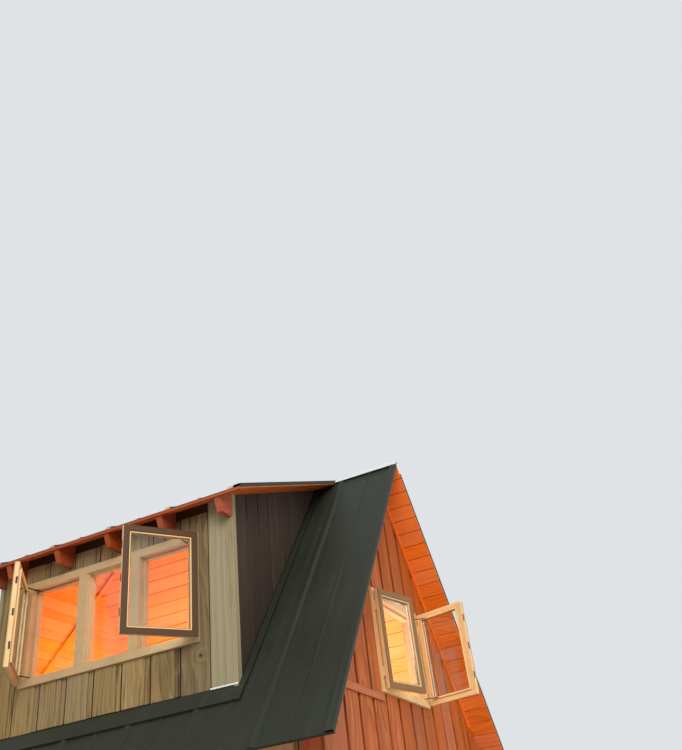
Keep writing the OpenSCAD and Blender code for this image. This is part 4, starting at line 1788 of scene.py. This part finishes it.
@dataclass
class Doorway(Assembly):
    """The door of upright boards in its frame, with strap hinges, knob, threshold and step."""

    jamb_w: float = 0.040
    stop_w: float = 0.012
    gap: float = 0.003
    leaf_in: float = 0.018
    leaf_t: float = 0.045
    face_t: float = 0.024
    board_w: float = 0.118
    ledge_h: float = 0.120
    ledge_in: float = 0.010
    strap_w: float = 0.038
    strap_l: float = 0.460
    tread_t: float = 0.032
    bearer_w: float = 0.040

    def build(self) -> None:
        """Make the frame, leaf, ironwork, threshold and step."""
        low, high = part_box("door_frame")
        jamb, width, height = self.jamb_w, high.x - low.x, high.z - low.z
        head = height - jamb
        behind, back = low.y + self.leaf_in + self.leaf_t, high.y - 0.01
        boxes = (((0.0, low.y, 0.0), (jamb, high.y, height)),
                 ((width - jamb, low.y, 0.0), (width, high.y, height)),
                 ((jamb, low.y, head), (width - jamb, high.y, height)),
                 ((jamb, behind, 0.0), (jamb + self.stop_w, back, head)),
                 ((width - jamb - self.stop_w, behind, 0.0), (width - jamb, back, head)))
        made = ease(join([self.board(*box) for box in boxes]), 0.002, 2)
        self.keep(place(made, Matrix.Translation((low.x, 0, low.z))), "door_casing", DOOR, Lay.UPRIGHT_FRONT,
                  "door_frame")
        self.leaf()
        self.step()

    def leaf(self) -> None:
        """Make the leaf: boards outside, ledges inside, two straps and the knob."""
        low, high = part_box("front_door")
        inside = low.y + self.face_t
        joints = seams(low.x, high.x, 0.0, self.board_w)
        face = Row(joints, (low.z, high.z), (low.y, inside), gap=self.gap, bevel=0.003).build(self.draw)
        left, right, middle = low.x + self.ledge_in, high.x - self.ledge_in, (low.z + high.z) / 2
        ledges = [self.board((left, inside, z), (right, high.y, z + self.ledge_h))
                  for z in (low.z + 0.12, middle - self.ledge_h / 2, high.z - 0.26)]
        self.keep(face, "door_boards", DOOR, Lay.UPRIGHT_FRONT, "front_door")
        self.keep(ease(join(ledges), 0.003), "door_ledges", DOOR, Lay.LEVEL_FRONT)
        straps = []
        for z in (low.z + 0.18, high.z - 0.20):
            strap = block((low.x, low.y - 0.004, z - self.strap_w / 2),
                          (low.x + self.strap_l, low.y + 0.001, z + self.strap_w / 2))
            with editing(strap, "FACE"):
                choose(strap, "faces", lambda end: end.normal.x > 0.5)
                push(0.05, 0, 0)
                bpy.ops.transform.resize(value=(1.0, 1.0, 0.15))
            straps.append(ease(strap, 0.001))
            bpy.ops.mesh.primitive_cylinder_add(vertices=20, radius=0.009, depth=0.060,
                                                location=(low.x - 0.004, low.y - 0.008, z))
            bpy.ops.object.transform_apply(location=True, rotation=True, scale=True)
            straps.append(ease(bpy.context.object, 0.001))
        self.keep(join(straps), "door_straps", IRON, Lay.LEVEL_FRONT)
        self.knob()

    def knob(self) -> None:
        """Make the round knob on its rose by spinning half of its outline."""
        low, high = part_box("door_handle")
        centre = (low + high) / 2
        outline = [(0.026, 0.0), (0.026, 0.004), (0.022, 0.008), (0.010, 0.011), (0.008, 0.022),
                   (0.012, 0.028), (0.021, 0.034), (0.0235, 0.043), (0.021, 0.053), (0.013, 0.060),
                   (0.0, 0.063)]
        bpy.ops.object.select_all(action="DESELECT")
        bpy.ops.mesh.primitive_plane_add(size=0.01)
        knob = bpy.context.object
        with editing(knob):
            bpy.ops.mesh.delete(type="VERT")
            mesh = bmesh.from_edit_mesh(knob.data)
            points = [mesh.verts.new((r, -d, 0)) for r, d in outline]
            for a, b in zip(points, points[1:]):
                mesh.edges.new((a, b))
            bmesh.update_edit_mesh(knob.data)
            bpy.ops.mesh.select_all(action="SELECT")
            bpy.ops.mesh.spin(steps=28, angle=math.tau, center=(0, 0, 0), axis=(0, 1, 0))
            bpy.ops.mesh.select_all(action="SELECT")
            bpy.ops.mesh.remove_doubles(threshold=1e-5)
            bpy.ops.mesh.select_all(action="DESELECT")
            bpy.ops.mesh.select_non_manifold()
            bpy.ops.mesh.edge_face_add()
            bpy.ops.mesh.select_all(action="SELECT")
            bpy.ops.mesh.normals_make_consistent(inside=False)
        pick(knob)
        bpy.ops.object.shade_smooth_by_angle(angle=math.radians(40))
        place(knob, Matrix.Translation((centre.x, high.y, centre.z)))
        self.keep(knob, "door_knob", IRON, Lay.LEVEL_FRONT, "door_handle")

    def step(self) -> None:
        """Make the threshold and the step of boards on bearers."""
        sill = ease(self.board(*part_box("threshold")), 0.003, 2)
        self.keep(sill, "door_sill", DOOR, Lay.LEVEL_FRONT, "threshold")
        low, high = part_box("door_step")
        third, under, front, gap = (high.y - low.y) / 3, high.z - self.tread_t, low.y + 0.022, self.gap
        parts = [self.board((low.x, low.y + i * third + gap, under),
                            (high.x, low.y + (i + 1) * third - gap, high.z)) for i in range(3)]
        bearer = self.bearer_w
        for x in (low.x + 0.02, (low.x + high.x) / 2 - bearer / 2, high.x - 0.02 - bearer):
            parts.append(self.board((x, front, 0.0), (x + bearer, high.y, under)))
        parts.append(self.board((low.x + 0.02, low.y + 0.006, 0.004), (high.x - 0.02, front, under - 0.002)))
        self.keep(ease(join(parts), 0.003, 2), "step_boards", GROUND, Lay.FLAT_ALONG_X, "door_step")


@dataclass
class Floors(Assembly):
    """The skids, the ground floor deck and the loft floor."""

    plank_w: float = 0.140
    plank_t: float = 0.020
    plank_gap: float = 0.002
    joist_w: float = 0.040
    joist_pitch: float = 0.400

    def build(self) -> None:
        """Make the skids and both floors."""
        cabin = self.cabin
        low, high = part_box("skids")
        # The skids are as wide as they are high
        half = cabin.skid_z / 2
        skids = [self.board((x - half, low.y, 0.0), (x + half, high.y, high.z))
                 for x in (low.x + half, 0.0, high.x - half)]
        self.keep(ease(join(skids), 0.006, 2), "skid_timbers", GROUND, Lay.FLAT_ALONG_Y, "skids")
        self.floor("deck", "floor_deck", cabin.skid_z, cabin.deck_z)
        self.floor("loft", "loft_floor", cabin.loft_low, cabin.loft_z)

    def floor(self, name: str, node: str, low: float, high: float) -> None:
        """Make a floor of planks on joists.

        Args:
            name: first part of its pieces' names.
            node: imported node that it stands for.
            low: underside of the joists.
            high: top of the planks.
        """
        x, y = self.cabin.inner_w, self.cabin.inner_len
        between, slit, half = high - self.plank_t, self.plank_gap / 2, self.joist_w / 2
        joints = seams(-x, x, 0.0, self.plank_w)
        planks = [self.board((a + slit, -y, between), (b - slit, y, high))
                  for a, b in zip(joints, joints[1:])]
        self.keep(ease(join(planks), 0.0015), f"{name}_planks", PINE, Lay.FLAT_ALONG_Y, node)
        count = math.floor(y / self.joist_pitch)
        places = [half - y, *(k * self.joist_pitch for k in range(-count, count + 1)), y - half]
        joists = [self.board((-x, p - half, low), (x, p + half, between)) for p in places]
        self.keep(ease(join(joists), 0.003), f"{name}_joists", PINE, Lay.LEVEL_FRONT)


@dataclass
class Studio(Assembly):
    """The plain pale floor, the soft lights and the camera at the photograph's viewing angle."""

    camera_at: tuple[float, float, float] = (-5.194, -3.347, 1.500)
    yaw: float = 67.998
    pitch: float = 33.306
    roll: float = 7.538
    focal_px: float = 805.4
    long_side_px: float = 750.0
    backdrop: str = "#dfe3e6"
    floor_colour: str = "#d9d8d4"
    sky_colour: str = "#f4f5f6"
    sky_level: float = 0.55
    key_level: float = 0.62
    fill_level: float = 0.25
    lamp_size: float = 5.0
    bulb_size: float = 0.15

    def build(self) -> None:
        """Make the floor, the world, the lights and the camera."""
        bpy.context.scene.view_settings.view_transform = "Standard"
        self.floor()
        self.world()
        self.lamp("key_light", (-8.0, -5.0, 6.5), self.key_level)
        self.lamp("fill_light", (1.0, -9.0, 3.0), self.fill_level)
        self.lamp("back_light", (5.0, 8.0, 7.0), self.key_level * 0.6)
        self.room_lamp("gable_light", (0.3, -0.95, 2.8), 0.72)
        self.room_lamp("loft_light", (0.0, 0.35, 2.75), 0.9)
        self.room_lamp("room_light", (0.0, 0.0, 1.7), 0.7)
        self.camera()

    def dress(self) -> None:
        """Nothing here belongs to the object, so there is nothing to dress."""

    def floor(self) -> None:
        """Lay the pale floor as a wide disc."""
        bpy.ops.mesh.primitive_circle_add(vertices=96, radius=60, fill_type="NGON")
        floor = bpy.context.object
        floor.name = "pale_floor"
        material, tree, output = new_material("pale_matt_floor")
        shader = add(tree, "BsdfPrincipled", {"Base Color": linear(self.floor_colour), "Roughness": 0.9})
        tree.links.new(shader.outputs[0], output.inputs["Surface"])
        floor.data.materials.append(material)

    def world(self) -> None:
        """Light the scene evenly, and show the pale backdrop to the camera and in gloss and glass."""
        world = bpy.data.worlds.new("studio")
        bpy.context.scene.world = world
        world.use_nodes = True
        tree = world.node_tree
        tree.nodes.clear()
        ray = add(tree, "LightPath").outputs
        seen = ray["Is Camera Ray"]
        for kind in ("Is Glossy Ray", "Is Transmission Ray"):
            seen = add(tree, "Math", {0: seen, 1: ray[kind]}, operation="MAXIMUM").outputs[0]
        light, shown = (add(tree, "Background", {"Color": linear(colour), "Strength": level}).outputs[0]
                        for colour, level in ((self.sky_colour, self.sky_level), (self.backdrop, 1.0)))
        either = add(tree, "MixShader", {0: seen, 1: light, 2: shown})
        tree.links.new(either.outputs[0], add(tree, "OutputWorld").inputs["Surface"])

    def hang(self, name: str, kind: str, at: Sequence[float], energy: float) -> Object:
        """Add a light that the camera doesn't see, and give it.

        Args:
            name: name of the light.
            kind: Blender's name for its kind.
            at: its place.
            energy: its power in watts.

        Returns:
            The light.
        """
        data = bpy.data.lights.new(name, kind)
        data.energy = energy
        lamp = bpy.data.objects.new(name, data)
        bpy.context.scene.collection.objects.link(lamp)
        lamp.location = at
        lamp.visible_camera = False
        return lamp

    def lamp(self, name: str, at: Sequence[float], level: float) -> None:
        """Hang a soft square light that faces the middle of the cabin.

        Args:
            name: name of the light.
            at: its place.
            level: brightness that it gives a white surface that faces it.
        """
        way = Vector((0, 0, 2.2)) - Vector(at)
        lamp = self.hang(name, "AREA", at, level * math.pi**2 * way.length_squared)
        lamp.data.size = self.lamp_size
        lamp.rotation_euler = way.to_track_quat("-Z", "Y").to_euler()

    def room_lamp(self, name: str, at: Sequence[float], reach: float) -> None:
        """Put a soft round light in a room, unseen itself, so that its lining shows its own colour.

        Args:
            name: name of the light.
            at: its place.
            reach: distance at which a white surface that faces it shows as white.
        """
        lamp = self.hang(name, "POINT", at, 4 * math.pi**2 * reach**2)
        lamp.data.shadow_soft_size = self.bulb_size
        lamp.visible_glossy = False
        lamp.visible_transmission = False

    def camera(self) -> None:
        """Set the camera where the photograph was taken, as measured from the cabin's edges."""
        yaw, pitch, roll = (math.radians(angle) for angle in (self.yaw, self.pitch, self.roll))
        ahead = Vector((math.sin(yaw) * math.cos(pitch), math.cos(yaw) * math.cos(pitch), math.sin(pitch)))
        level = Vector((math.cos(yaw), -math.sin(yaw), 0))
        sunk = ahead.cross(level)
        right = level * math.cos(roll) + sunk * math.sin(roll)
        down = sunk * math.cos(roll) - level * math.sin(roll)
        data = bpy.data.cameras.new("camera")
        data.sensor_width = 36.0
        data.lens = data.sensor_width * self.focal_px / self.long_side_px
        camera = bpy.data.objects.new("camera", data)
        bpy.context.scene.collection.objects.link(camera)
        turn = Matrix((right, -down, -ahead)).transposed().to_4x4()
        camera.matrix_world = Matrix.Translation(self.camera_at) @ turn
        bpy.context.scene.camera = camera


def main() -> None:
    """Build and dress every sub-assembly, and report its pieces."""
    logging.basicConfig(level=logging.INFO, format="%(name)s: %(message)s")
    cabin = Cabin.from_frame()
    assemblies: list[Assembly] = [
        Studio(cabin),
        Floors(cabin, 11),
        GableWalls(cabin, 23),
        SideWalls(cabin, 31),
        MainRoof(cabin, 47),
        DormerRoof(cabin, 53),
        DormerWalls(cabin, 33218),
        Windows(cabin, 71),
        Doorway(cabin, 83),
    ]
    for assembly in assemblies:
        assembly.build()
        assembly.dress()
        for piece in assembly.pieces:
            LOG.info("%s %s: %d faces", type(assembly).__name__, piece.obj.name, len(piece.obj.data.polygons))


if __name__ == "__main__":
    main()
